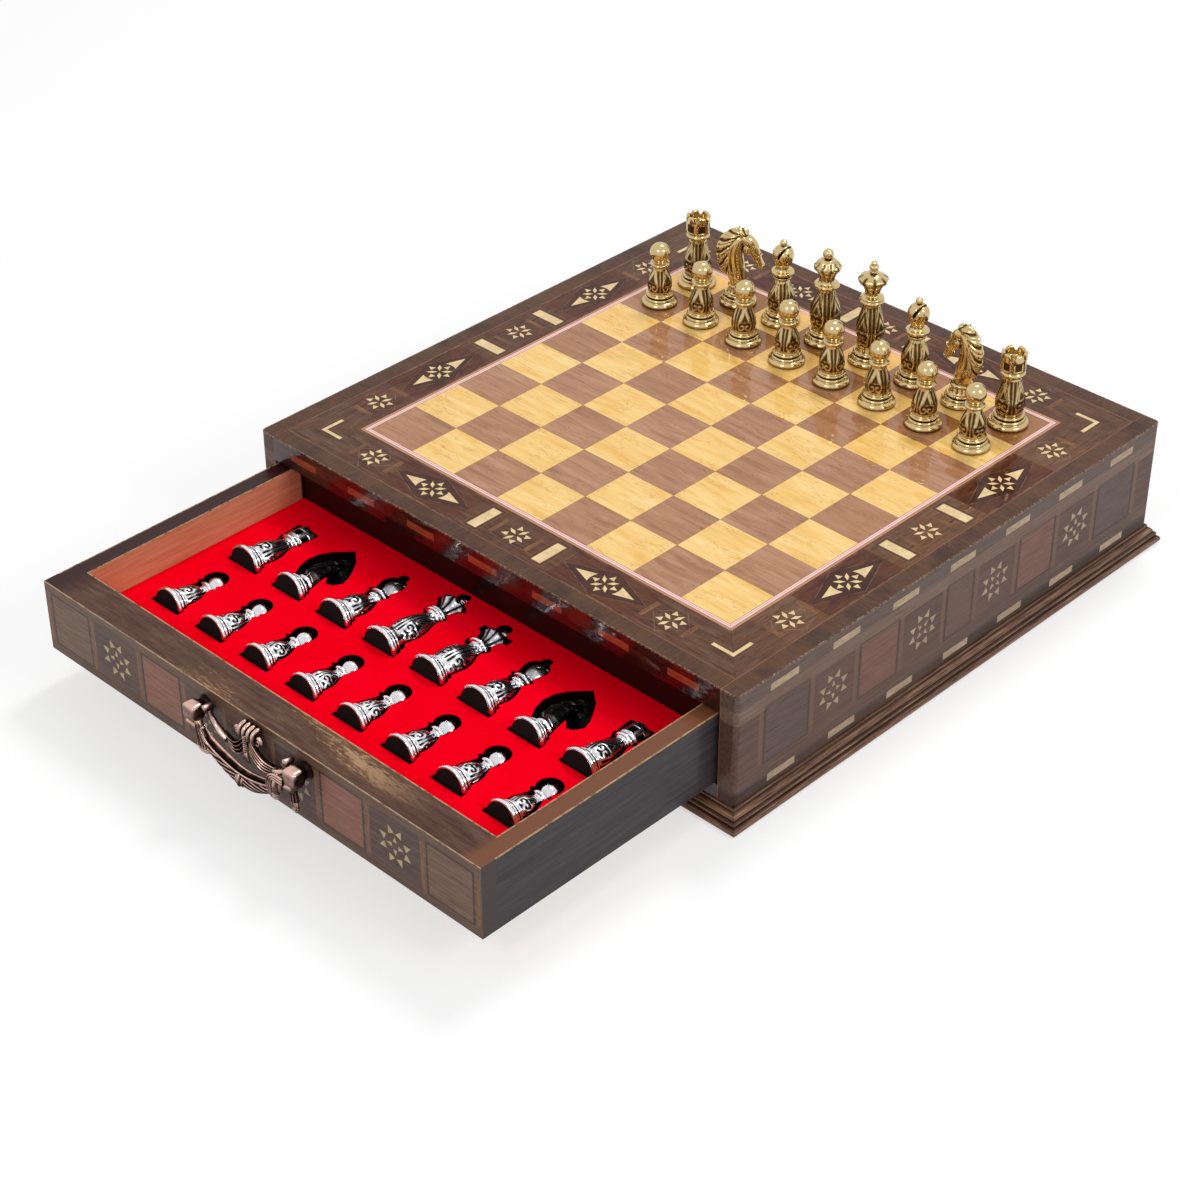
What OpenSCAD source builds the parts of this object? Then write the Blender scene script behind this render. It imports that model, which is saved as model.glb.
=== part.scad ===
// Chess box: an inlaid board on a case with two drawers, and two sets of chessmen.
// The origin is the centre of the case's underside, -Y is the front and +Z is up.
// All sizes are in millimetres.

/* [Board] */
// Side of one square of the playing field
square_side = 28.3; // [26:0.1:34]
// Width of the border between the field and the edge of the case
border_w = 36.8; // [34:0.1:44]
// Thickness of the veneers on the board
veneer_t = 1; // [0.6:0.1:2]
// Thickness of the core under the veneers
core_t = 7; // [5:0.1:9]
// Width of the stringing round the field
stringing_w = 3.7; // [2:0.1:5]
// Depth of the inlays in walls, rails and drawer faces
inlay_t = 1; // [0.6:0.1:2]

/* [Case] */
// Height of the case
case_h = 68.5; // [64:0.1:90]
// Thickness of the side walls and of the rails
wall_t = 9.3; // [8:0.1:11]
// Height of the rails above the drawers
top_rail_h = 12.5; // [11:0.1:16]
// Height of the rails below the drawers
bottom_rail_h = 18; // [16:0.1:20]
// Thickness of the base panel
base_t = 6; // [4:0.1:8]
// Thickness of the divider between the two drawer bays
divider_t = 4; // [3:0.1:8]
// Width of the runners under the drawer sides
runner_w = 8; // [5:0.1:12]
// Glue line at mitres and butt joints
glue_gap = 0.05; // [0.02:0.01:0.1]
// Rounding of the upright edges of the case
corner_r = 2.5; // [1:0.1:4]
// Rounding of the top edges of the case
top_edge_r = 1.2; // [0.5:0.1:2.5]

/* [Base moulding] */
// Height of the moulding
moulding_h = 10.2; // [9:0.1:13]
// How far the foot of the moulding stands out
moulding_out = 5.7; // [5:0.1:8]
// Height of the rounded foot
foot_h = 4; // [3:0.1:5]
// Height of the bead above the foot
bead_h = 2.2; // [1.5:0.1:3]
// How far the bead stands back from the foot
bead_setback = 1.6; // [0.8:0.1:2]
// Height of the flat lip at the top
lip_h = 1.2; // [0.6:0.1:2]
// Thickness of the flat lip at the top
lip_t = 0.6; // [0.3:0.1:1.2]

/* [Drawers] */
// How far the front drawer stands open
front_open = 135.4; // [0:0.1:136]
// Gap at each side of a drawer
drawer_side_gap = 1.45; // [0.5:0.05:2]
// Gap between a drawer and the rail above it
drawer_top_gap = 1.2; // [0.5:0.1:2]
// Running gap between a drawer and its runners
drawer_run_gap = 0.4; // [0.2:0.1:0.8]
// Gap between a closed drawer and the divider
drawer_back_gap = 0.5; // [0.3:0.1:2]
// Thickness of the applied drawer face
face_t = 8; // [6:0.1:10]
// Thickness of the drawer's inner front
inner_front_t = 9.7; // [7:0.1:12]
// Thickness of the drawer's sides
drawer_side_t = 9.3; // [7:0.1:11]
// Thickness of the drawer's back
drawer_back_t = 5; // [4:0.1:8]
// Thickness of the drawer's bottom
drawer_bottom_t = 3; // [2:0.1:4]

/* [Drawer insert] */
// Thickness of the flocked insert
insert_t = 15; // [14:0.1:17]
// Gap between the insert and the drawer frame
insert_gap = 0.3; // [0.1:0.1:0.6]
// Depth of the recesses
recess_depth = 10.5; // [9:0.1:12]
// Gap round a piece's body and head in its recess
recess_gap = 1; // [0.7:0.1:1.6]
// Gap round a piece's foot in its recess
foot_gap = 0.4; // [0.3:0.05:0.7]
// Gap under a piece that lies in its recess
rest_gap = 0.3; // [0.1:0.1:0.6]
// Plain margin at each end of a row of recesses
row_end_margin = 7.6; // [5:0.1:12]
// Distance from the king's head to the drawer's back
king_margin = 2.3; // [1.8:0.1:6]
// Distance from the pawns' heads to the feet of the other pieces
row_gap = 10.9; // [7:0.1:14]

/* [Drawer pull] */
// How far the pull sits to the right of the drawer's middle
pull_shift = 5; // [-8:0.5:8]
// Distance between the two posts
post_spacing = 64; // [60:0.1:72]
// Distance from the drawer's top edge to the middle of a post
post_drop = 9; // [8:0.1:11]
// Radius of a post's knob
post_r = 5.4; // [4.5:0.1:6.5]
// Radius of a post's neck
neck_r = 4.2; // [3.6:0.1:4.5]
// Radius of the rosette where a post meets the face
rosette_r = 6; // [5:0.1:7.5]
// How far a post stands out from the face
post_out = 13; // [12.5:0.1:16]
// Radius of the bail's rod
bail_r = 2.2; // [1.6:0.1:2.6]
// Gap between the bail's arms and the knobs
arm_gap = 0.45; // [0.3:0.05:3]
// How far the bail hangs below its pivots
bail_drop = 15.6; // [13:0.1:18]
// Distance from the face to the pivots
pivot_out = 8.5; // [8:0.1:10]
// Distance from the middle of a post down to its pivot
pivot_drop = 4.2; // [3:0.1:5]
// Radius of the bail's pivot pins
pin_r = 1.2; // [0.8:0.1:1.6]
// Running gap round a pivot pin
pin_gap = 0.15; // [0.05:0.05:0.3]
// How deep a pivot pin reaches into its post
pin_depth = 3.6; // [2:0.1:5]
// Radius of the draped cords between the posts
drape_r = 2.2; // [1.5:0.1:2.4]
// How far the draped cords sag
drape_drop = 6; // [4:0.1:7]
// Length of the tassel under each post
tassel_h = 14; // [10:0.1:15]
// Radius of the screws that hold the posts
screw_r = 1.8; // [1.5:0.1:2.2]
// Gap round a screw in its hole
screw_gap = 0.1; // [0.05:0.05:0.3]
// Radius of a screw's head
screw_head_r = 3.4; // [3:0.1:4.5]
// Height of a screw's head
screw_head_t = 2; // [1.5:0.1:3]
// How far a screw reaches into its post
screw_reach = 6; // [4:0.1:8]

/* [Chessmen] */
// Height of a pawn
pawn_h = 33.6; // [30:0.1:36]
// Height of a rook
rook_h = 39; // [35:0.1:42]
// Height of a knight
knight_h = 42; // [38:0.1:44]
// Height of a bishop
bishop_h = 45.4; // [41:0.1:48]
// Height of a queen
queen_h = 50.5; // [46:0.1:52]
// Height of a king
king_h = 54.4; // [52:0.1:56]
// Radius of a pawn's foot
pawn_r = 9.1; // [8.5:0.1:9.5]
// Radius of a rook's or bishop's foot
officer_r = 9.8; // [9.2:0.1:10.2]
// Radius of a knight's foot
knight_r = 9.5; // [9:0.1:10]
// Radius of a king's or queen's foot
royal_r = 10; // [9.4:0.1:10.4]
// Thickness of a knight's head
knight_head_t = 8.4; // [7:0.1:10]
// Direction in which the knight on the left is turned
left_knight_turn = 38; // [0:1:359]
// Direction in which the knight on the right is turned
right_knight_turn = 172; // [0:1:359]

/* [Hidden] */
$fn = 48;
EPS = 0.01;
FIELD = 8;
BARS = 7;

// Overall sizes of the case and its bays
case_side = FIELD * square_side + 2 * border_w;
field_half = FIELD * square_side / 2;
case_half = case_side / 2;
bay_half = case_half - wall_t;
core_z = case_h - veneer_t - core_t;
veneer_z = case_h - veneer_t;

// The border's pattern runs along the middle of the patterned band
band_in = field_half + stringing_w;
pattern_line = (band_in + bay_half) / 2;

// Drawer sizes
drawer_z = bottom_rail_h + drawer_run_gap;
drawer_top = case_h - top_rail_h - drawer_top_gap;
drawer_h = drawer_top - drawer_z;
drawer_w = 2 * (bay_half - drawer_side_gap);
drawer_len = case_half - divider_t / 2 - drawer_back_gap;
well_front = face_t + inner_front_t;
well_back = drawer_len - drawer_back_t;
well_w = drawer_w - 2 * drawer_side_t;
insert_z = drawer_z + drawer_bottom_t;
insert_top = insert_z + insert_t;
recess_floor = insert_top - recess_depth;

// Rows of lying pieces
man_pitch = (well_w - 2 * row_end_margin) / FIELD;
officer_line = well_back - king_margin - king_h;
pawn_line = officer_line - row_gap - pawn_h;

// Pull
joint_bulge = 0.1;
post_z = drawer_top - post_drop;
pivot_z = post_z - pivot_drop;
post_x = post_spacing / 2;
arm_x = post_x - sqrt(pow(post_r + bail_r + joint_bulge + arm_gap, 2) - pow(pivot_drop, 2));
lug_r = pin_r + 2;
lug_in = arm_x + bail_r + 0.5;
drape_out = drape_r + 0.6;

// Inlays in squares from the middle of a side
BORDER_STARS = [-3.31, 0, 3.31];
BORDER_DIAMONDS = [-1.925, 1.925];
BORDER_BARS = [-0.72, 0.72];
BORDER_STRIPS = [-3.695, -2.86, -0.395, 0.395, 2.86, 3.695];
WALL_STARS = [-3.08, -0.925, 0.925, 3.08];
FACE_STRIPS = [0.55, 1.5, 2.6, 3.73];

// Inlay shapes
star_r = 10.1;
small_star_r = 6.5;
bar_l = 17.8;
bar_w = 3.7;
bar_from_top = 5.9;
lower_bar_z = 14.9;
border_bar = [5.4, 16.7];
border_strip = [2.4, 12];
corner_leg = 12.7;
corner_w = 1.9;
face_strip_w = 2;
panel_margin = 2.6;
face_margin = 5.7;
wall_margin = 4.5;
face_panel_h = drawer_h - 2 * face_margin;
wall_panel_h = drawer_h - 2 * wall_margin;
wall_pattern_z = drawer_z + drawer_h / 2 + 2.3;

// Kinds of chessmen
PAWN = 0;
ROOK = 1;
KNIGHT = 2;
BISHOP = 3;
QUEEN = 4;
KING = 5;
MAN_H = [pawn_h, rook_h, knight_h, bishop_h, queen_h, king_h];
MAN_R = [pawn_r, officer_r, knight_r, officer_r, royal_r, royal_r];
GOLD_ROW = [ROOK, KNIGHT, BISHOP, QUEEN, KING, BISHOP, KNIGHT, ROOK];
SILVER_ROW = [ROOK, KNIGHT, BISHOP, KING, QUEEN, BISHOP, KNIGHT, ROOK];

// Turned outlines: [share of the foot's radius, share of the height]
FOOT = [[1, 0], [1, 0.025], [0.97, 0.06], [0.86, 0.085], [0.76, 0.1], [0.8, 0.125], [0.76, 0.15]];
// How many of the foot's points lie on its rim
FOOT_RIM_POINTS = 3;
OUTLINES = [
    concat(FOOT, [[0.65, 0.2], [0.7, 0.31], [0.65, 0.42], [0.48, 0.53], [0.38, 0.6],
                  [0.4, 0.65], [0.55, 0.67], [0.55, 0.7], [0.42, 0.72]]),
    concat(FOOT, [[0.61, 0.165], [0.73, 0.33], [0.68, 0.44], [0.5, 0.57], [0.43, 0.65],
                  [0.6, 0.72], [0.6, 0.75], [0.52, 0.76], [0.56, 0.8], [0.63, 0.97], [0.63, 1]]),
    concat(FOOT, [[0.6, 0.18], [0.56, 0.24], [0.5, 0.26]]),
    concat(FOOT, [[0.6, 0.16], [0.72, 0.29], [0.66, 0.38], [0.45, 0.49], [0.34, 0.53],
                  [0.47, 0.57], [0.38, 0.59], [0.59, 0.61], [0.59, 0.63], [0.36, 0.67],
                  [0.44, 0.73], [0.53, 0.81], [0.52, 0.85], [0.38, 0.91], [0.16, 0.94]]),
    concat(FOOT, [[0.65, 0.16], [0.78, 0.31], [0.72, 0.4], [0.52, 0.49], [0.42, 0.55],
                  [0.63, 0.61], [0.63, 0.64], [0.38, 0.69], [0.47, 0.75], [0.72, 0.81],
                  [0.72, 0.835], [0.5, 0.87], [0.26, 0.9]]),
    concat(FOOT, [[0.56, 0.18], [0.7, 0.32], [0.64, 0.42], [0.48, 0.51], [0.41, 0.58],
                  [0.6, 0.625], [0.6, 0.65], [0.34, 0.68], [0.42, 0.74], [0.77, 0.815],
                  [0.77, 0.835], [0.5, 0.87], [0.22, 0.9], [0.2, 0.915]])
];
// Balls that top the pieces: share of the foot's radius, or 0 where there is none
BALLS = [0.56, 0, 0, 0.18, 0.27, 0.23];
// Knight's head: [share of the foot's radius towards the muzzle, share of the height]
KNIGHT_HEAD = [[-0.5, 0.2], [-0.8, 0.3], [-1.1, 0.42], [-1.26, 0.56], [-1.2, 0.7], [-0.9, 0.83],
               [-0.45, 0.94], [-0.2, 1], [0.1, 0.94], [0.45, 0.88], [0.85, 0.75], [1.2, 0.62],
               [1.33, 0.52], [1.15, 0.44], [0.88, 0.41], [0.6, 0.48], [0.3, 0.5], [0.4, 0.38],
               [0.5, 0.26], [0.5, 0.2]];
crenel_w = 3;
// Balls round the queen's crown
crown_points = 10;
crown_ball_r = 0.13 * royal_r;
crown_rim_r = 0.68 * royal_r;
crown_r = crown_rim_r + crown_ball_r;
crown_z = 0.835 * queen_h;

// ---------- outline helpers ----------

// Points of a turned outline at the size of its kind
function man_outline(kind) = [for (p = OUTLINES[kind]) [p[0] * MAN_R[kind], p[1] * MAN_H[kind]]];
function ball_r(kind) = BALLS[kind] * MAN_R[kind];
function ball_z(kind) = MAN_H[kind] - ball_r(kind);
function knight_head() = [for (p = KNIGHT_HEAD) [p[0] * knight_r, p[1] * knight_h]];

// Outward normal of an edge of a clockwise outline
function edge_normal(a, b) = [a[1] - b[1], b[0] - a[0]] / norm(b - a);

// A clockwise outline with each edge moved out by d
function grown(points, d) = let (n = len(points)) [for (i = [0 : n - 1])
    let (a = edge_normal(points[(i + n - 1) % n], points[i]),
         b = edge_normal(points[i], points[(i + 1) % n]))
    points[i] + d * (a + b) / (1 + a * b)];

// Points [radius, height] at which a lying piece can touch the floor of its recess
function touch_points(kind) = concat(
    man_outline(kind),
    ball_r(kind) > 0 ? [[ball_r(kind), ball_z(kind)]] : [],
    kind == QUEEN ? [[crown_r, crown_z]] : [],
    kind == KNIGHT ? [[knight_head_t / 2, 0.94 * knight_h]] : []);

// Tilt at which a lying piece rests on its foot's rim and one other point
function rest_tilt(kind) = let (rim = man_outline(kind)[1])
    atan(min([for (p = touch_points(kind)) if (p[1] > 0.3 * MAN_H[kind])
        (rim[0] - p[0]) / (p[1] - rim[1])]));

// Height of a lying piece's foot centre above the floor of its recess
function rest_height(kind) = let (t = rest_tilt(kind))
    rest_gap + max([for (p = touch_points(kind)) p[0] * cos(t) + p[1] * sin(t)]);

// ---------- inlay shapes, all flat and centred ----------

module ring_of(points, count, first = 0) {
    for (k = [0 : count - 1]) rotate(first + 360 * k / count) polygon(points);
}

module bar_shape(size) square(size, center = true);

// Eight-pointed star of walls and drawer faces, with its inner points turned by inner_turn
module star_shape(inner_turn) {
    r = star_r;
    blade = [[0.375 * r, 0.924 * r], [0.375 * r, 0.504 * r], [0.04 * r, 0.644 * r]];
    heart = [[0, 0.504 * r], [0.112 * r, 0.196 * r], [-0.112 * r, 0.196 * r]];
    ring_of(blade, 4);
    mirror([1, 0]) ring_of(blade, 4);
    ring_of(heart, 4, inner_turn);
}

// Small star of the border, with four wedges and four lozenges
module small_star_shape() {
    r = small_star_r;
    wedge = [[0, 1.13 * r], [0.24 * r, 0.65 * r], [-0.24 * r, 0.65 * r]];
    lozenge = [[0, 0.13 * r], [0.16 * r, 0.56 * r], [0, r], [-0.16 * r, 0.56 * r]];
    ring_of(wedge, 4);
    ring_of(lozenge, 4, 45);
}

// Star between two pointed fans
module diamond_shape() {
    fan_base = 8.2;
    fan_tip = 17.5;
    fan_angle = 25;
    fan = concat([[fan_tip, 0]],
        [for (a = [fan_angle : -fan_angle / 2 : -fan_angle]) fan_base * [cos(a), sin(a)]]);
    small_star_shape();
    for (side = [0, 180]) rotate(side) polygon(fan);
}

// Right-angled mark at a corner of the border, open towards the field
module corner_mark_shape() {
    out = corner_w / 2;
    leg = corner_leg - out;
    polygon([[out, out], [-leg, out], [-leg, -out], [-out, -out], [-out, -leg], [out, -leg]]);
}

// Everything let into one side of the border, which lies along +Y
module border_side_shapes() {
    translate([0, pattern_line]) {
        for (x = BORDER_STARS) translate([x * square_side, 0]) rotate(22.5) small_star_shape();
        for (x = BORDER_DIAMONDS) translate([x * square_side, 0]) diamond_shape();
        for (x = BORDER_BARS) translate([x * square_side, 0]) bar_shape(border_bar);
        for (x = BORDER_STRIPS) translate([x * square_side, 0]) bar_shape(border_strip);
    }
}

// Bars at equal distances along a wall or rail, in the plane of its outer face
module bar_row_shapes(z) {
    pitch = case_side / (BARS + 0.5);
    for (k = [-(BARS - 1) / 2 : (BARS - 1) / 2])
        translate([k * pitch, z]) bar_shape([bar_l, bar_w]);
}

module wall_light_shapes() {
    bar_row_shapes(case_h - bar_from_top);
    bar_row_shapes(lower_bar_z);
    for (x = WALL_STARS)
        translate([x * square_side, wall_pattern_z]) star_shape(abs(x) < 2 ? 45 : 0);
}

module wall_panel_shapes() {
    for (panel = [[-4.16, 0.93], [-2, 0.86], [0, 0.6], [2, 0.86], [4.16, 0.93]])
        translate([panel[0] * square_side, wall_pattern_z])
            bar_shape([panel[1] * square_side, wall_panel_h]);
}

// Middles of the upright strips on one half of a drawer's face
function face_strip_x() = concat([for (x = FACE_STRIPS) x * square_side], [drawer_w / 2 - 1.75]);

module face_light_shapes() {
    x = face_strip_x();
    for (side = [-1, 1])
        translate([0, drawer_z + drawer_h / 2]) {
            for (i = [0, 2]) translate([side * (x[i] + x[i + 1]) / 2, 0]) star_shape(0);
            for (p = x) translate([side * p, 0]) bar_shape([face_strip_w, face_panel_h]);
        }
}

module face_panel_shapes() {
    x = face_strip_x();
    inset = face_strip_w + 2 * panel_margin;
    translate([0, drawer_z + drawer_h / 2]) {
        bar_shape([2 * x[0] - inset, face_panel_h]);
        for (side = [-1, 1], i = [1, 3])
            translate([side * (x[i] + x[i + 1]) / 2, 0])
                bar_shape([x[i + 1] - x[i] - inset, face_panel_h]);
    }
}

// ---------- case ----------

// Stands a flat shape up on the case's front face (side 0) and sinks it by inlay_t;
// sides 1, 2 and 3 are the right, back and left faces
module on_side(side) {
    rotate(90 * side) translate([0, -case_half + inlay_t, 0]) rotate([90, 0, 0])
        linear_extrude(inlay_t) children();
}

module soft_topped(width, height, r) {
    translate([-width / 2, 0]) square([width, height - r]);
    translate([-width / 2 + r, 0]) square([width - 2 * r, height]);
    for (side = [-1, 1]) translate([side * (width / 2 - r), height - r]) circle(r);
}

// Whole block of the case with its edges rounded
module case_block() {
    intersection() {
        linear_extrude(case_h) {
            square([case_side - 2 * corner_r, case_side], center = true);
            square([case_side, case_side - 2 * corner_r], center = true);
            for (x = [-1, 1], y = [-1, 1])
                translate([x, y] * (case_half - corner_r)) circle(corner_r);
        }
        for (turn = [0, 90])
            rotate(turn) rotate([90, 0, 0]) translate([0, 0, -case_half])
                linear_extrude(case_side) soft_topped(case_side, case_h, top_edge_r);
    }
}

module block(x, y, z) {
    translate([x[0], y[0], z[0]]) cube([x[1] - x[0], y[1] - y[0], z[1] - z[0]]);
}

// A part of the case's block, cut out along x, y and z
module case_part(x, y, z) {
    intersection() {
        case_block();
        block(x, y, z);
    }
}

// Side wall on the right; the left one is its mirror image
module side_wall() {
    difference() {
        case_part([bay_half, case_half], [-case_half, case_half], [0, case_h]);
        on_side(1) wall_light_shapes();
        on_side(1) wall_panel_shapes();
    }
}

module right_wall() color("sienna") side_wall();

module left_wall() color("sienna") mirror([1, 0, 0]) side_wall();

module top_rail() {
    difference() {
        case_part([-bay_half, bay_half], [-case_half, -bay_half], [case_h - top_rail_h, case_h]);
        on_side(0) bar_row_shapes(case_h - bar_from_top);
    }
}

module front_top_rail() color("saddlebrown") top_rail();

module back_top_rail() color("saddlebrown") rotate(180) top_rail();

module bottom_rail() {
    difference() {
        case_part([-bay_half, bay_half], [-case_half, -bay_half], [0, bottom_rail_h]);
        on_side(0) bar_row_shapes(lower_bar_z);
    }
}

module front_bottom_rail() color("saddlebrown") bottom_rail();

module back_bottom_rail() color("saddlebrown") rotate(180) bottom_rail();

module base_panel() {
    color("peru") block([-bay_half, bay_half], [-bay_half, bay_half], [0, base_t]);
}

module centre_divider() {
    color("peru") block([-bay_half, bay_half], [-divider_t / 2, divider_t / 2], [base_t, core_z]);
}

module drawer_runners() {
    color("burlywood") for (x = [0, 1], y = [0, 1]) mirror([x, 0, 0]) mirror([0, y, 0])
        block([bay_half - runner_w, bay_half], [divider_t / 2, bay_half], [base_t, bottom_rail_h]);
}

// Outline of the moulding: x stands out from the case, y goes up
module moulding_outline() {
    foot_r = foot_h / 2;
    bead_r = bead_h / 2;
    cap_r = moulding_h - foot_h - bead_h - lip_h;
    square([moulding_out - foot_r, foot_h]);
    translate([moulding_out - foot_r, foot_r]) circle(foot_r);
    square([moulding_out - bead_setback - bead_r, foot_h + bead_h]);
    translate([moulding_out - bead_setback - bead_r, foot_h + bead_r]) circle(bead_r);
    intersection() {
        translate([0, foot_h + bead_h]) circle(cap_r);
        square([moulding_out, moulding_h]);
    }
    square([lip_t, moulding_h]);
}

// Plan of a strip between two half-widths along +Y, mitred at both ends
module mitred_strip(inner, outer) {
    polygon([[-inner + glue_gap, inner], [-outer + glue_gap, outer],
        [outer - glue_gap, outer], [inner - glue_gap, inner]]);
}

// One mitred length, along the back of the case
module moulding_length() {
    reach = case_half + moulding_out;
    intersection() {
        translate([-reach, case_half, 0]) rotate([90, 0, 90]) linear_extrude(2 * reach)
            moulding_outline();
        linear_extrude(moulding_h) mitred_strip(case_half, reach);
    }
}

module base_moulding() {
    color("saddlebrown") for (side = [0 : 3]) rotate(90 * side) moulding_length();
}

// ---------- board ----------

module board_core() {
    color("tan") block([-bay_half, bay_half], [-bay_half, bay_half], [core_z, veneer_z]);
}

module corner_marks() {
    for (turn = [0 : 3]) rotate(90 * turn) translate([pattern_line, pattern_line])
        corner_mark_shape();
}

module border_veneer() {
    color("dimgray") translate([0, 0, veneer_z]) for (side = [0 : 3]) rotate(90 * side)
        linear_extrude(veneer_t) difference() {
            mitred_strip(band_in, bay_half);
            border_side_shapes();
            corner_marks();
        }
}

module border_inlays() {
    color("wheat") translate([0, 0, veneer_z]) linear_extrude(veneer_t) {
        for (side = [0 : 3]) rotate(90 * side) border_side_shapes();
        corner_marks();
    }
}

module field_stringing() {
    color("pink") translate([0, 0, veneer_z]) for (side = [0 : 3]) rotate(90 * side)
        linear_extrude(veneer_t) mitred_strip(field_half, band_in);
}

// Squares whose column and row add up to an odd (1) or an even (0) number
module squares(parity) {
    translate([-field_half, -field_half, veneer_z])
        for (i = [0 : FIELD - 1], j = [0 : FIELD - 1])
            if ((i + j) % 2 == parity)
                translate([i * square_side, j * square_side, 0])
                    cube([square_side, square_side, veneer_t]);
}

module light_squares() color("goldenrod") squares(1);

module dark_squares() color("rosybrown") squares(0);

module wall_inlays() {
    color("wheat") {
        on_side(1) wall_light_shapes();
        mirror([1, 0, 0]) on_side(1) wall_light_shapes();
    }
}

module wall_panels() {
    color("brown") {
        on_side(1) wall_panel_shapes();
        mirror([1, 0, 0]) on_side(1) wall_panel_shapes();
    }
}

module rail_inlays() {
    color("wheat") for (side = [0, 2]) on_side(side) {
        bar_row_shapes(case_h - bar_from_top);
        bar_row_shapes(lower_bar_z);
    }
}

// ---------- drawers: y = 0 is the face's front and +Y goes into the case ----------

module front_drawer() translate([0, -case_half - front_open, 0]) children();

module rear_drawer() rotate(180) translate([0, -case_half, 0]) children();

// Moves a piece of the pull to its place along the face
module at_pull() translate([pull_shift, 0, 0]) children();

// Stands a flat shape up on the drawer's face and sinks it by inlay_t
module on_face() translate([0, inlay_t, 0]) rotate([90, 0, 0]) linear_extrude(inlay_t) children();

// Screw holes through the face and the inner front
module screw_holes() {
    at_pull() for (x = [-post_x, post_x])
        translate([x, -EPS, post_z]) rotate([-90, 0, 0])
            cylinder(h = well_front + 2 * EPS, r = screw_r + screw_gap);
}

module drawer_face() {
    color("sienna") difference() {
        block([-drawer_w / 2, drawer_w / 2], [0, face_t], [drawer_z, drawer_top]);
        on_face() face_light_shapes();
        on_face() face_panel_shapes();
        screw_holes();
    }
}

// Inner front, two sides and back; the sides run from the face to the end
module drawer_frame() {
    between = well_w / 2 - glue_gap;
    color("chocolate") {
        difference() {
            block([-between, between], [face_t, well_front], [drawer_z, drawer_top]);
            screw_holes();
        }
        for (side = [0, 1]) mirror([side, 0, 0])
            block([well_w / 2, drawer_w / 2], [face_t, drawer_len], [drawer_z, drawer_top]);
        block([-between, between], [well_back, drawer_len], [drawer_z, drawer_top]);
    }
}

module drawer_bottom() {
    color("peru")
        block([-well_w / 2, well_w / 2], [well_front, well_back], [drawer_z, insert_z]);
}

// Plan of the recess for one lying piece, its foot's centre at the origin and its head along +Y
module recess_shape(kind) {
    slack = MAN_R[kind] * sin(rest_tilt(kind));
    outline = man_outline(kind);
    last = outline[len(outline) - 1];
    right = concat([[outline[0][0] + foot_gap, -foot_gap - slack]],
        [for (i = [0 : len(outline) - 1])
            outline[i] + [i < FOOT_RIM_POINTS ? foot_gap : recess_gap, 0]],
        [[last[0] + recess_gap, last[1] + recess_gap]]);
    left = [for (i = [len(right) - 1 : -1 : 0]) [-right[i][0], right[i][1]]];
    polygon(concat(right, left));
    if (ball_r(kind) > 0) translate([0, ball_z(kind)]) circle(ball_r(kind) + recess_gap);
    if (kind == QUEEN)
        translate([0, crown_z]) bar_shape(2 * [crown_r, crown_ball_r] + 2 * [recess_gap, recess_gap]);
    if (kind == KNIGHT) polygon(grown(knight_head(), recess_gap));
}

// Places a child at each place of a row of lying pieces that has the wanted kind
module at_places(row, kind, line) {
    for (i = [0 : FIELD - 1])
        if (row[i] == kind) translate([(i - (FIELD - 1) / 2) * man_pitch, line]) children();
}

PAWN_ROW = [for (i = [1 : FIELD]) PAWN];

module drawer_insert() {
    color("red") difference() {
        block([-well_w / 2 + insert_gap, well_w / 2 - insert_gap],
            [well_front + insert_gap, well_back - insert_gap], [insert_z, insert_top]);
        translate([0, 0, recess_floor]) linear_extrude(recess_depth + EPS) {
            at_places(PAWN_ROW, PAWN, pawn_line) recess_shape(PAWN);
            for (kind = [ROOK : KING])
                at_places(SILVER_ROW, kind, officer_line) recess_shape(kind);
        }
    }
}

module face_inlays() {
    color("wheat") difference() {
        on_face() face_light_shapes();
        screw_holes();
    }
}

module face_panels() color("brown") on_face() face_panel_shapes();

// ---------- drawer pull: -Y stands out from the face ----------

// A rod that sags between two points at one height, span apart, its ends at z = 0
module sagging_rod(span, drop, r) {
    bend_r = (span * span / 4 + drop * drop) / (2 * drop);
    half_angle = asin(span / 2 / bend_r);
    translate([0, 0, bend_r - drop]) rotate([90, 0, 0]) rotate(-90 - half_angle)
        rotate_extrude(angle = 2 * half_angle) translate([bend_r, 0]) circle(r);
}

module post() {
    rotate([90, 0, 0]) rotate_extrude() polygon([[0, 0], [rosette_r, 0], [rosette_r, 1.2],
        [neck_r, 2.4], [neck_r, post_out - 8], [post_r - 0.4, post_out - 6],
        [post_r, post_out - 4.5], [post_r, post_out - 2.4], [post_r - 0.8, post_out - 1],
        [post_r - 2.4, post_out], [0, post_out]]);
}

module tassel() {
    rotate_extrude() polygon([[0, 0], [1.6, 0], [1.8, -0.3 * tassel_h], [2.6, -0.4 * tassel_h],
        [1.7, -0.5 * tassel_h], [3, -0.9 * tassel_h], [2.4, -tassel_h], [0, -tassel_h]]);
}

// Boss under each post that takes a pivot pin
module pivot_lug() {
    translate([lug_in, -pivot_out, pivot_z]) rotate([0, 90, 0])
        cylinder(h = post_x - lug_in + 1, r = lug_r);
}

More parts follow.
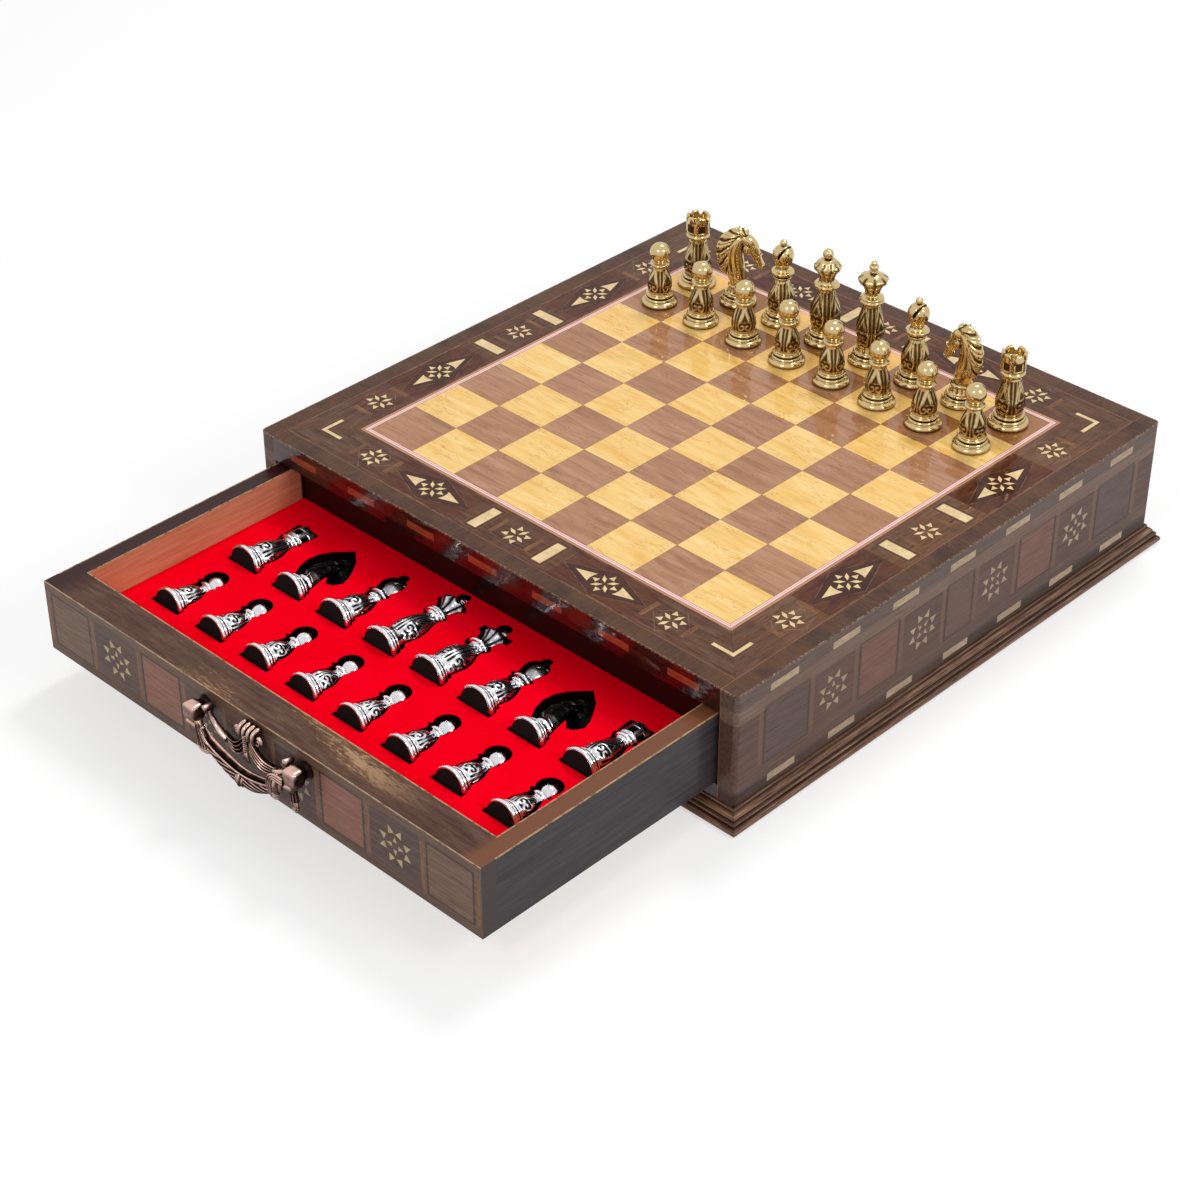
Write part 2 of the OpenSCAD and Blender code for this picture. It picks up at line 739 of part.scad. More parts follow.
module pull_posts() {
    knot_z = post_z + 1.2;
    bead_r = 2;
    drape_z = post_z - 0.5;
    color("#8a5340") difference() {
        union() {
            for (side = [0, 1]) mirror([side, 0, 0]) {
                translate([post_x, 0, post_z]) post();
                pivot_lug();
                translate([post_x + 1, -pivot_out + 2, pivot_z - 1]) tassel();
                translate([post_x / 2 - 1, -drape_out, drape_z])
                    sagging_rod(post_x - 4, drape_drop, drape_r);
                for (i = [0.5, 1.5])
                    translate([i * 1.5 * bead_r, -drape_out - 0.5, knot_z + 2 - i])
                        sphere(bead_r);
            }
            translate([0, -drape_out, knot_z - 2.5]) sphere(3.2);
            translate([0, -drape_out, knot_z - 3]) tassel();
        }
        for (side = [0, 1]) mirror([side, 0, 0]) {
            translate([post_x, EPS, post_z]) rotate([90, 0, 0])
                cylinder(h = screw_reach + 0.5, r = screw_r + screw_gap);
            translate([arm_x, -pivot_out, pivot_z]) rotate([0, 90, 0])
                cylinder(h = lug_in - arm_x + pin_depth + 0.3, r = pin_r + pin_gap);
        }
        block([-post_spacing, post_spacing], [0, face_t], [0, case_h]);
    }
}

module pull_screws() {
    color("silver") for (x = [-post_x, post_x]) translate([x, well_front, post_z]) {
        rotate([90, 0, 0]) cylinder(h = well_front + screw_reach, r = screw_r);
        rotate([-90, 0, 0]) difference() {
            cylinder(h = screw_head_t, r = screw_head_r);
            translate([-screw_head_r, -0.4, screw_head_t - 0.8]) cube([2 * screw_head_r, 0.8, 1]);
        }
    }
}

module pull_bail() {
    color("#8a5340") translate([0, -pivot_out, pivot_z]) {
        sagging_rod(2 * arm_x, bail_drop, bail_r);
        for (side = [0, 1]) mirror([side, 0, 0]) {
            translate([arm_x, 0, 0]) sphere(bail_r + joint_bulge);
            translate([arm_x, 0, 0]) rotate([0, 90, 0])
                cylinder(h = lug_in - arm_x + pin_depth, r = pin_r);
        }
    }
}

// ---------- chessmen ----------

module turned(kind) {
    outline = man_outline(kind);
    last = outline[len(outline) - 1];
    rotate_extrude() polygon(concat([[0, 0]], outline, [[0, last[1]]]));
    if (ball_r(kind) > 0) {
        translate([0, 0, ball_z(kind)]) sphere(ball_r(kind));
        cylinder(h = ball_z(kind), r = ball_r(kind) / 2);
    }
}

module rook() {
    difference() {
        turned(ROOK);
        translate([0, 0, 0.88 * rook_h]) cylinder(h = rook_h, r = 0.43 * officer_r);
        for (turn = [0 : 60 : 120]) rotate(turn)
            translate([-officer_r, -crenel_w / 2, 0.93 * rook_h])
                cube([2 * officer_r, crenel_w, rook_h]);
    }
}

module knight() {
    turned(KNIGHT);
    rotate([90, 0, 0]) {
        linear_extrude(0.6 * knight_head_t, center = true) polygon(knight_head());
        linear_extrude(knight_head_t, center = true) polygon(grown(knight_head(), -1.1));
    }
}

module bishop() {
    slit_w = 1.1;
    difference() {
        turned(BISHOP);
        translate([0.1 * officer_r, 0, 0.84 * bishop_h]) rotate([0, 35, 0])
            translate([0, -officer_r, 0]) cube([slit_w, 2 * officer_r, officer_r]);
    }
}

module queen() {
    turned(QUEEN);
    for (k = [0 : crown_points - 1]) rotate(360 * k / crown_points)
        translate([crown_rim_r, 0, crown_z]) sphere(crown_ball_r);
}

module king() {
    turned(KING);
    translate([0, 0, 0.925 * king_h]) sphere(0.2 * royal_r);
}

module chessman(kind) {
    if (kind == PAWN) turned(PAWN);
    if (kind == ROOK) rook();
    if (kind == KNIGHT) knight();
    if (kind == BISHOP) bishop();
    if (kind == QUEEN) queen();
    if (kind == KING) king();
}

// A gold piece on its file (0 to 7), on the last row or the pawns' row
module gold_man(file, kind, turn = 0) {
    row = kind == PAWN ? FIELD - 2 : FIELD - 1;
    place = [file + 0.5, row + 0.5] * square_side - [field_half, field_half];
    color("gold") translate([place[0], place[1], case_h]) rotate(turn) chessman(kind);
}

// The silver pieces of one kind, lying in the front drawer
module silver_men(kind) {
    row = kind == PAWN ? PAWN_ROW : SILVER_ROW;
    line = kind == PAWN ? pawn_line : officer_line;
    color("silver") front_drawer() at_places(row, kind, line)
        translate([0, 0, recess_floor + rest_height(kind)])
            rotate([-90 - rest_tilt(kind), 0, 0]) chessman(kind);
}

left_wall();
right_wall();
front_top_rail();
back_top_rail();
front_bottom_rail();
back_bottom_rail();
base_panel();
centre_divider();
drawer_runners();
base_moulding();
board_core();
border_veneer();
light_squares();
dark_squares();
field_stringing();
border_inlays();
wall_inlays();
wall_panels();
rail_inlays();
front_drawer() drawer_face();  // front_drawer_face
front_drawer() drawer_frame();  // front_drawer_frame
front_drawer() drawer_bottom();  // front_drawer_bottom
front_drawer() drawer_insert();  // front_drawer_insert
front_drawer() face_inlays();  // front_face_inlays
front_drawer() face_panels();  // front_face_panels
front_drawer() at_pull() pull_posts();  // front_pull_posts
front_drawer() at_pull() pull_screws();  // front_pull_screws
front_drawer() at_pull() pull_bail();  // front_pull_bail
rear_drawer() drawer_face();  // rear_drawer_face
rear_drawer() drawer_frame();  // rear_drawer_frame
rear_drawer() drawer_bottom();  // rear_drawer_bottom
rear_drawer() drawer_insert();  // rear_drawer_insert
rear_drawer() face_inlays();  // rear_face_inlays
rear_drawer() face_panels();  // rear_face_panels
rear_drawer() at_pull() pull_posts();  // rear_pull_posts
rear_drawer() at_pull() pull_screws();  // rear_pull_screws
rear_drawer() at_pull() pull_bail();  // rear_pull_bail
gold_man(0, PAWN);  // gold_pawn_a
gold_man(1, PAWN);  // gold_pawn_b
gold_man(2, PAWN);  // gold_pawn_c
gold_man(3, PAWN);  // gold_pawn_d
gold_man(4, PAWN);  // gold_pawn_e
gold_man(5, PAWN);  // gold_pawn_f
gold_man(6, PAWN);  // gold_pawn_g
gold_man(7, PAWN);  // gold_pawn_h
gold_man(0, GOLD_ROW[0]);  // gold_rook_a
gold_man(1, GOLD_ROW[1], left_knight_turn);  // gold_knight_b
gold_man(2, GOLD_ROW[2]);  // gold_bishop_c
gold_man(3, GOLD_ROW[3]);  // gold_queen
gold_man(4, GOLD_ROW[4]);  // gold_king
gold_man(5, GOLD_ROW[5]);  // gold_bishop_f
gold_man(6, GOLD_ROW[6], right_knight_turn);  // gold_knight_g
gold_man(7, GOLD_ROW[7]);  // gold_rook_h
silver_men(PAWN);  // silver_pawns
silver_men(ROOK);  // silver_rooks
silver_men(KNIGHT);  // silver_knights
silver_men(BISHOP);  // silver_bishops
silver_men(QUEEN);  // silver_queen
silver_men(KING);  // silver_king
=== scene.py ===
"""Looks of the chess box: woods, red flock, cast brass and chrome chessmen, and copper pulls.

Lengths are in millimetres until a mesh is made, and the frame's own boxes give the places.
"""

import math

import bpy
import numpy as np
from mathutils import Matrix, Vector


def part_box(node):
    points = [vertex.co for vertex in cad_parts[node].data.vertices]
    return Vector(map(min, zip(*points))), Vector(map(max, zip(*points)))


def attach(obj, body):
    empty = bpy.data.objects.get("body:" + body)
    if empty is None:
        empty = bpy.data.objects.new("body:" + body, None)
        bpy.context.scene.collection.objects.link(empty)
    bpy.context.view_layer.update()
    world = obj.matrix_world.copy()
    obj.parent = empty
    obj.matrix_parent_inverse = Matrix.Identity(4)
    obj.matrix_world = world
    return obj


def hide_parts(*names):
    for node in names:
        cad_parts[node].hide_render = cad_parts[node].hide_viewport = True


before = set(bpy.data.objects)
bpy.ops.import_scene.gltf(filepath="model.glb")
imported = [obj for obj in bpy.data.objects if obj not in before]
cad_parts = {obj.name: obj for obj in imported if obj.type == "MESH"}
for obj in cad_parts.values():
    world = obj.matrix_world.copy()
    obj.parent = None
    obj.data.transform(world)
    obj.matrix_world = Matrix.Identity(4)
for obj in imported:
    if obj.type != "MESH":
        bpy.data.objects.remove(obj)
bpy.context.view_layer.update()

MM = 0.001
TAU = 2 * math.pi


# ---------- sizes read from the frame ----------

def low(node):
    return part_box(node)[0] / MM


def high(node):
    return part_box(node)[1] / MM


FIELD_HALF = high("light_squares").x
SQUARE = FIELD_HALF / 4
CASE_HALF = high("right_wall").x
BAY_HALF = low("right_wall").x
CASE_TOP = high("right_wall").z
BAND_IN = high("field_stringing").x
PATTERN_LINE = (BAND_IN + BAY_HALF) / 2
FRONT_FACE_Y = low("front_drawer_face").y
REAR_FACE_Y = high("rear_drawer_face").y
DRAWER_LOW = low("front_drawer_face").z
DRAWER_TOP = high("front_drawer_face").z
DRAWER_HALF = high("front_drawer_face").x
WELL_HALF = high("front_drawer_bottom").x
WELL_BACK = high("front_drawer_bottom").y
FACE_T = high("front_drawer_face").y - FRONT_FACE_Y
FRAME_LENGTH = high("front_drawer_frame").y - FRONT_FACE_Y
INSERT_TOP = high("front_drawer_insert").z
PULL_X = (low("front_pull_bail").x + high("front_pull_bail").x) / 2

# Sizes that the frame's boxes don't give
RECESS_DEPTH = 10.5
REST_GAP = 0.3
ROW_END_MARGIN = 7.6
KING_MARGIN = 2.3
ROW_GAP = 10.9
POST_X = 32
POST_DROP = 9
PIVOT_OUT = 8.5
PIVOT_DROP = 4.2
ARM_X = 25
PIVOT = (-PIVOT_OUT, -PIVOT_DROP)
DRAWER_MIDDLE = (DRAWER_LOW + DRAWER_TOP) / 2
WALL_PATTERN_Z = DRAWER_MIDDLE + 2.3
WALL_PANEL_HALF = DRAWER_TOP - DRAWER_MIDDLE - 4.5
FACE_PANEL_HALF = DRAWER_TOP - DRAWER_MIDDLE - 5.7
FACE_STRIPS = [0.55 * SQUARE, 1.5 * SQUARE, 2.6 * SQUARE, 3.73 * SQUARE, DRAWER_HALF - 1.75]


# ---------- shader helpers ----------

def linear(value):
    value /= 255
    return value / 12.92 if value <= 0.04045 else ((value + 0.055) / 1.055) ** 2.4


def srgb(r, g, b):
    """Linear colour of 0 to 255 sRGB values."""
    return (linear(r), linear(g), linear(b), 1)


def wood(r, g, b, sheen=0.045):
    """Colour of wood that looks like r, g, b through the white sheen of its varnish."""
    return tuple(max(linear(v) - sheen, 0.0015) for v in (r, g, b)) + (1,)


class Value:
    """A node's output. Sums with it add nodes to its shader."""

    def __init__(self, shader, socket):
        self.shader, self.socket = shader, socket

    def math(self, operation, *others):
        return self.shader.add("Math", dict(enumerate((self, *others))), operation=operation)

    def __add__(self, other):
        return self.math("ADD", other)

    def __sub__(self, other):
        return self.math("SUBTRACT", other)

    def __mul__(self, other):
        return self.math("MULTIPLY", other)

    def __abs__(self):
        return self.math("ABSOLUTE")


def most(value, *others):
    for other in others:
        value = value.math("MAXIMUM", other)
    return value


def least(value, *others):
    for other in others:
        value = value.math("MINIMUM", other)
    return value


def step(value, start, end):
    """0 before start, 1 after end, and smooth between them. start may be above end."""
    return value.shader.add("MapRange", {0: value, 1: start, 2: end},
                            interpolation_type="SMOOTHSTEP")


def near(value, middle, half, soft=0.1):
    """1 within half of the middle, 0 outside it."""
    return step(abs(value - middle), half + soft, half)


def at_any(value, middles, half):
    return most(*[near(value, middle, half) for middle in middles])


def ramp(value, *stops, kind="LINEAR"):
    """Colour of a value, from stops of (position, colour)."""
    node = value.shader.add("ValToRGB", {0: value}).socket.node
    node.color_ramp.interpolation = kind
    elements = node.color_ramp.elements
    while len(elements) < len(stops):
        elements.new(0.5)
    for element, (position, colour) in zip(elements, stops):
        element.position = position
        element.color = colour
    return Value(value.shader, node.outputs[0])


def layers(colour, *coats):
    """A colour under coats of (share, colour)."""
    for share, coat in coats:
        colour = share.shader.add("Mix", {0: share, 6: colour, 7: coat}, out=2, data_type="RGBA")
    return colour


def tones(streaks, dark, light, colour=wood):
    """Wood colour between two tones, from noise that is drawn out along the grain."""
    return ramp(streaks, (0.34, colour(*dark)), (0.66, colour(*light)))


class Shader:
    """One material's node tree. place is the position in mm, and x, y and z are its parts."""

    def __init__(self, name):
        self.material = bpy.data.materials.new(name)
        self.material.use_nodes = True
        self.tree = self.material.node_tree
        self.tree.nodes.clear()
        self.bsdf = self.tree.nodes.new("ShaderNodeBsdfPrincipled")
        output = self.tree.nodes.new("ShaderNodeOutputMaterial")
        self.tree.links.new(self.bsdf.outputs[0], output.inputs[0])
        self.place = self.add("VectorMath", {0: self.add("TexCoord", out=3), "Scale": 1 / MM},
                              operation="SCALE")
        split = self.add("SeparateXYZ", {0: self.place}).socket.node
        self.x, self.y, self.z = (Value(self, axis) for axis in split.outputs)

    def put(self, socket, value):
        if isinstance(value, Value):
            self.tree.links.new(value.socket, socket)
        else:
            socket.default_value = value

    def add(self, kind, inputs=None, out=0, **settings):
        node = self.tree.nodes.new("ShaderNode" + kind)
        for key, value in settings.items():
            setattr(node, key, value)
        for key, value in (inputs or {}).items():
            self.put(node.inputs[key], value)
        return Value(self, node.outputs[out])

    def vector(self, x, y, z):
        return self.add("CombineXYZ", {0: x, 1: y, 2: z})

    def noise(self, grain, detail=3, roughness=0.55, distortion=0.0):
        """Noise in a vector, or in the place times one scale or (x, y, z) scales."""
        if not isinstance(grain, Value):
            scales = grain if isinstance(grain, tuple) else (grain,) * 3
            grain = self.add("VectorMath", {0: self.place, 1: scales}, operation="MULTIPLY")
        return self.add("TexNoise", {"Vector": grain, "Scale": 1.0, "Detail": detail,
                                     "Roughness": roughness, "Distortion": distortion})

    def grained(self, grain, dark, light, contrast=0.16, colour=srgb):
        """Wood colour whose figure is long where the grain's scale is small."""
        broad = self.noise(grain, 5, 0.6, 0.6)
        return ramp(broad, (0.5 - contrast, colour(*dark)), (0.5 + contrast, colour(*light)))

    def clouds(self, scale, low_edge=0.4, high_edge=0.65):
        """Soft patches of 0 to 1, about 1 / scale mm wide."""
        return step(self.noise(scale), low_edge, high_edge)

    def pores(self, grain, amount):
        """Short dark strokes along the grain."""
        return step(self.noise(grain, 2, 0.7), amount, amount + 0.06)

    def bump(self, height, strength, depth):
        return self.add("Bump", {"Height": height, "Strength": strength, "Distance": depth * MM})

    def fold(self):
        """(across, along) of a square ring: the larger and the smaller of |x| and |y|."""
        x, y = abs(self.x), abs(self.y)
        return most(x, y), least(x, y)

    def ring(self, along_scale, across_scale):
        """Grain that runs along each side of the ring."""
        across, along = self.fold()
        side = step(abs(self.x) - abs(self.y), -0.01, 0.01)
        return self.vector(along * along_scale, across * across_scale,
                           self.z * across_scale + side * 37.0)

    def finish(self, colour, bump, ripple=None, **sockets):
        """Sets the surface. bump and ripple, of the coat, are (height, strength, depth in mm)."""
        sockets.update(base_color=colour, normal=self.bump(*bump))
        if ripple:
            sockets["coat_normal"] = self.bump(*ripple)
        names = {"coat": "Coat Weight", "specular": "Specular IOR Level"}
        for key, value in sockets.items():
            self.put(self.bsdf.inputs[names.get(key, key.replace("_", " ").title())], value)
        return self.material


# ---------- woods ----------

SATIN = {"roughness": 0.4, "coat": 0.18, "specular": 0.12}
GLOSS = {"roughness": 0.4, "coat": 0.5, "coat_roughness": 0.04, "specular": 0.06}


def edge_band(s):
    """Cross-grained band round the top of the case: brown, with dark and rubbed patches."""
    across, along = s.fold()
    fine = s.noise(s.vector(along * 0.9, across * 0.1, 0.0), 5, 0.7)
    specks = step(s.noise(0.9, 3, 0.8), 0.6, 0.7)
    return layers(tones(fine, (86, 66, 56), (104, 83, 72)),
                  (s.clouds(0.04) * 0.5, wood(112, 86, 68)),
                  (s.clouds(0.055, 0.5, 0.68) * 0.6, wood(70, 62, 56)),
                  (specks * 0.3, wood(140, 112, 92)))


def case_wood(s, outside, top, inward, grain):
    """Outer colour of the case, its top band, pale specks painted along the arrises as the
    highlight of their rounded edges, and bare tan wood inside.
    """
    across, _ = s.fold()
    inside = step(abs(inward), BAY_HALF + 0.3, BAY_HALF + 0.1)
    # edge and the specks lay a painted highlight along the top arrises, where a rounded edge would
    # catch the light
    edge = (step(across, CASE_HALF - 0.9, CASE_HALF - 0.3)
            * step(s.z, CASE_TOP - 1.1, CASE_TOP - 0.5))
    chips_and_glints = step(s.noise(0.8, 4, 0.8), 0.47, 0.6)
    return layers(outside,
                  (top, edge_band(s)),
                  (inside, s.grained(grain, (132, 84, 54), (176, 120, 80))),
                  (edge * chips_and_glints * 0.6, srgb(176, 150, 124)))


def case_top(s):
    return step(s.z, CASE_TOP - 0.6, CASE_TOP - 0.2)


def wall_wood():
    """Side walls: grey-brown satin bands, brown bands and thin frames round the panels."""
    s = Shader("case_walnut")
    streaks = s.noise((1.0, 0.03, 1.0), 6, 0.65, 0.3)
    # (middle, width) of the panels in squares, from the wall's middle
    off_panel = least(*[abs(abs(s.y) - middle * SQUARE) - width * SQUARE / 2
                        for middle, width in ((0, 0.6), (2, 0.86), (4.16, 0.93))])
    upright = near(off_panel, 3.4, 1.1, 0.3) * near(s.z, WALL_PATTERN_Z, 14.2, 0.2)
    rim = most(off_panel, abs(s.z - WALL_PATTERN_Z) - WALL_PANEL_HALF)
    outside = layers(
        tones(streaks, (97, 83, 78), (118, 103, 97)),
        (step(s.z, 20.0, 14.0), tones(streaks, (56, 40, 33), (90, 70, 60))),
        (near(s.z, 39.3, 20.7, 0.2), tones(streaks, (92, 72, 66), (114, 94, 87))),
        (near(s.z, 56.5, 3.4, 0.3), tones(streaks, (112, 92, 82), (137, 116, 105))),
        (near(s.z, 22.2, 3.4, 0.3), tones(streaks, (94, 76, 68), (117, 98, 89))),
        (upright * 0.7, wood(126, 100, 84)),
        (near(rim, 1.0, 0.35, 0.3) * 0.55, wood(62, 48, 43)),
        (s.clouds(0.018) * 0.3, wood(116, 94, 84)))
    return s.finish(case_wood(s, outside, case_top(s), s.x, (1.0, 0.04, 1.0)),
                    (streaks, 0.2, 0.08), coat_roughness=0.14, **SATIN)


def rail_wood():
    """Rails: deep red-brown under gloss on the outside, the red partly a painted reflection of the
    red flock, with lighter blocks between the bars and painted shade low down.
    """
    s = Shader("rail_walnut")
    streaks = s.noise((0.035, 0.8, 0.8), 6, 0.65, 0.3)
    outside = layers(
        # The red of the outside is partly a painted reflection of the red flock in the drawers
        tones(streaks, (30, 7, 4), (62, 20, 12), srgb),
        (step(s.noise((0.045, 0.12, 0.12)), 0.45, 0.62) * 0.6, srgb(92, 40, 24)),
        # Below z 58, which takes in the bottom rails, the rails are painted darker as shade
        (step(s.z, 62.0, 58.0) * 0.6, srgb(24, 4, 2)))
    top = case_top(s)
    return s.finish(case_wood(s, outside, top, s.y, (0.04, 1.0, 1.0)),
                    (streaks, 0.2, 0.08), (s.noise((0.03, 0.08, 0.08), 2), 0.6, 2.0),
                    roughness=0.36, coat=s.add("MapRange", {0: top, 3: 0.8, 4: 0.18}),
                    coat_roughness=0.08, specular=0.12)


def plain_wood():
    """Runners, divider, base and core: bare light wood."""
    s = Shader("plain_beech")
    grain = (0.05, 0.9, 0.9)
    colour = layers(s.grained(grain, (158, 116, 74), (206, 166, 118)),
                    (s.pores((0.3, 4, 4), 0.62) * 0.5, srgb(112, 76, 46)))
    return s.finish(colour, (s.noise(grain, 6), 0.3, 0.15), roughness=0.62)


def moulding_wood():
    """Base moulding: ribbed along its length, rubbed light on the round parts."""
    s = Shader("moulding_walnut")
    across, along = s.fold()
    streaks = s.noise(s.vector(along * 0.05, across * 1.6, s.z * 1.6), 7, 0.72, 0.2)
    specks = step(s.noise((0.35, 0.35, 1.2), 5, 0.8), 0.54, 0.68)
    round_parts = most(near(s.z, 2.6, 1.2, 0.8), near(s.z, 5.8, 0.3, 0.3))
    grooves = most(near(s.z, 4.0, 0.25, 0.25), near(s.z, 6.2, 0.25, 0.25),
                   near(s.z, 9.0, 0.2, 0.25))
    colour = layers(ramp(streaks, (0.34, wood(78, 58, 49)), (0.5, wood(126, 99, 84)),
                         (0.64, wood(170, 138, 112))),
                    (specks * round_parts * 0.6, wood(146, 110, 90)),
                    (grooves * 0.75, srgb(22, 13, 11)))
    return s.finish(colour, (streaks, 0.5, 0.22), roughness=0.4, coat=0.2, coat_roughness=0.2,
                    specular=0.15)


def border_wood():
    """Patterned band: mottled brown veneer, dark fields behind the fans, and fine lines."""
    s = Shader("border_veneer")
    across, along = s.fold()
    streaks = s.noise(s.ring(0.06, 0.5), 6, 0.66, 0.8)
    panel = near(along, 1.93 * SQUARE, 0.87 * SQUARE, 0.3)
    off = abs(across - PATTERN_LINE)
    lozenge = abs(along - 1.925 * SQUARE) * (1 / 23.5) + off * (1 / 9.6)
    bar = most(abs(along - 0.72 * SQUARE) - 2.7, off - 8.35)
    around_star = abs(along - 3.31 * SQUARE) + off
    pale_lines = most(near(lozenge, 1.04, 0.012, 0.012), near(around_star, 10.4, 0.18, 0.2),
                      near(off, 11.4, 0.15, 0.2) * panel)
    dark_lines = most(near(lozenge, 1.0, 0.016, 0.012), near(bar, 1.0, 0.25, 0.15))
    scratches = step(s.noise((0.5, 0.05, 0.1), 3, 0.8), 0.63, 0.7)
    colour = layers(
        tones(streaks, (84, 62, 51), (120, 95, 81)),
        # The right-hand band is painted lighter, as light falling on that side of the border
        (step(s.x, FIELD_HALF, BAND_IN), tones(streaks, (98, 72, 60), (136, 108, 92))),
        (panel, tones(streaks, (80, 48, 34), (116, 82, 69))),
        (step(along, 3.72 * SQUARE, 3.74 * SQUARE), tones(streaks, (90, 70, 60), (124, 99, 87))),
        (s.clouds(0.05) * 0.35, wood(116, 84, 66)),
        (s.clouds(0.07, 0.55, 0.72) * 0.4, wood(78, 66, 60)),
        (step(lozenge, 1.0, 0.99) * 0.45, wood(68, 44, 38)),
        (step(bar, 3.4, 1.0) * 0.4, wood(140, 104, 80)),
        (pale_lines * s.clouds(0.2, 0.4, 0.6) * 0.5, wood(158, 132, 116)),
        (dark_lines * 0.7, wood(54, 34, 29)),
        (scratches * 0.25, wood(150, 122, 104)))
    return s.finish(colour, (streaks, 0.12, 0.06), (s.noise(0.05, 2), 0.4, 0.8), roughness=0.4,
                    coat=0.3, coat_roughness=0.03, specular=0.05)


def square_wood(name, woods, fleck_share, figure):
    """Veneer squares, each cut from another part of the sheet, with the grain along X.

    woods are the dark, middle and light of the grain, the flecks, and the redder squares.
    """
    dark, mid, light, fleck, warm = (wood(*tone, sheen=0.055) for tone in woods)
    s = Shader(name)
    ripple = s.noise(0.06, 2)
    column, row = ((axis + FIELD_HALF) * (1 / SQUARE) for axis in (s.x, s.y))
    cell = s.vector(column.math("FLOOR"), row.math("FLOOR"), 0.0)
    random = s.add("TexWhiteNoise", {0: cell}, out=1, noise_dimensions="3D")
    moved = s.add("VectorMath", {0: random, "Scale": 400.0}, operation="SCALE")
    s.place = s.add("VectorMath", {0: s.place, 1: moved}, operation="ADD")
    broad = s.noise((0.04, 0.3, 0.3), 4, 0.55, 0.7)
    cathedral = s.noise((0.02, 0.1, 0.1), distortion=1.2)
    aged = (s.add("TexWhiteNoise", {0: cell}, noise_dimensions="3D") * 0.45
            + step(s.y, 2 * SQUARE, 3.4 * SQUARE) * 0.5)
    flecks = s.pores((0.25, 2.2, 2.2), 0.58) * step(s.noise((0.05, 0.09, 0.09), 2), 0.45, 0.6)
    seam = step(most(*[abs(part.math("FRACT") - 0.5) for part in (column, row)]), 0.491, 0.499)
    colour = layers(
        ramp(broad, (0.3, dark), (0.5, mid), (0.7, light)),
        (step(cathedral, 0.42, 0.62) * figure, dark),
        (step(aged, 0.15, 1.0), warm),
        (flecks * fleck_share, fleck),
        (step(s.noise((0.12, 1.6, 1.6), 3, 0.7), 0.5, 0.72) * 0.3, dark),
        (seam * 0.55, srgb(96, 62, 42)))
    return s.finish(colour, (broad, 0.06, 0.05), (ripple, 0.4, 0.7), roughness=0.4, coat=0.8,
                    coat_roughness=0.02, specular=0.06)


def stringing():
    """Fine stripes round the field: tan outside, then pinks and whites."""
    s = Shader("stringing")
    share = (s.fold()[0] - FIELD_HALF) * (1 / (BAND_IN - FIELD_HALF))
    rose, white = srgb(190, 112, 122), srgb(246, 214, 204)
    stripes = ramp(share, (0, rose), (0.06, white), (0.24, rose), (0.32, white),
                   (0.52, srgb(226, 160, 158)), (0.62, srgb(130, 78, 70)),
                   (0.68, srgb(186, 134, 94)), (0.95, srgb(90, 58, 44)), kind="CONSTANT")
    tint = s.noise(s.ring(0.1, 1.0))
    colour = layers(stripes, (step(tint, 0.4, 0.7) * 0.2, srgb(196, 132, 112)))
    return s.finish(colour, (tint, 0.1, 0.05), **GLOSS)


def border_inlay():
    """Stars, fans and bars of pale wood, and brown cross strips."""
    s = Shader("border_inlay")
    across, along = s.fold()
    grain = s.ring(0.3, 0.3)
    strip = (at_any(along, [c * SQUARE for c in (0.395, 2.86, 3.695)], 1.4)
             * step(across, PATTERN_LINE + 9, PATTERN_LINE + 8))
    brown = layers(s.grained(s.ring(0.9, 0.1), (104, 74, 56), (158, 112, 74), colour=wood),
                   (step(s.noise(0.03, 2), 0.4, 0.6) * 0.7, wood(110, 84, 68)))
    colour = layers(s.grained(grain, (206, 176, 126), (240, 214, 162), 0.2),
                    (s.pores(1.2, 0.66) * 0.35, srgb(160, 122, 80)),
                    (strip, brown))
    return s.finish(colour, (s.noise(grain, 4), 0.1, 0.05), **GLOSS)


def wall_inlay():
    """Stars and bars of the walls: pale wood painted grey-beige, the greying being painted shade
    and sheen of the satin walls.
    """
    s = Shader("wall_inlay")
    grain = (0.5, 0.2, 0.8)
    # The grey-beige tones are painted shade and sheen over pale wood
    colour = layers(s.grained(grain, (146, 124, 98), (194, 168, 136), 0.2),
                    (s.clouds(0.02, 0.45, 0.6) * 0.35, srgb(146, 122, 102)))
    return s.finish(colour, (s.noise(grain, 4), 0.15, 0.05), coat_roughness=0.14, **SATIN)


def rail_inlay():
    """Bars of the rails: orange-brown under gloss, the orange partly a painted reflection of the
    red flock.
    """
    s = Shader("rail_inlay")
    grain = (0.12, 0.8, 1.4)
    # The orange tones are partly a painted reflection of the red flock
    return s.finish(s.grained(grain, (112, 48, 24), (168, 84, 46), 0.18),
                    (s.noise(grain, 4), 0.15, 0.05), roughness=0.34, coat=0.8,
                    coat_roughness=0.08, specular=0.2)


def panel_wood(name, axis, grain, woods, inner, depth, coat_roughness):
    """Inlaid panels of three woods, from the outermost panel to the middle one."""
    s = Shader(name)
    streaks = s.noise(grain, 6, 0.7, 0.4)
    along = abs(getattr(s, axis))
    outer, between, middle = (tones(streaks, *pair) for pair in woods)
    colour = layers(outer,
                    (step(along, 3 * SQUARE, 2.9 * SQUARE), between),
                    (step(along, inner * SQUARE, (inner - 0.1) * SQUARE), middle))
    return s.finish(colour, (streaks, 0.25, depth), coat_roughness=coat_roughness, **SATIN)


def face_space(strip):
    """(middle, half width) of the space between a strip of the drawer face and the next one."""
    start, end = FACE_STRIPS[strip:strip + 2]
    return (start + end) / 2, (end - start) / 2


def drawer_top(s):
    return step(s.z, DRAWER_TOP - 0.25, DRAWER_TOP - 0.1)


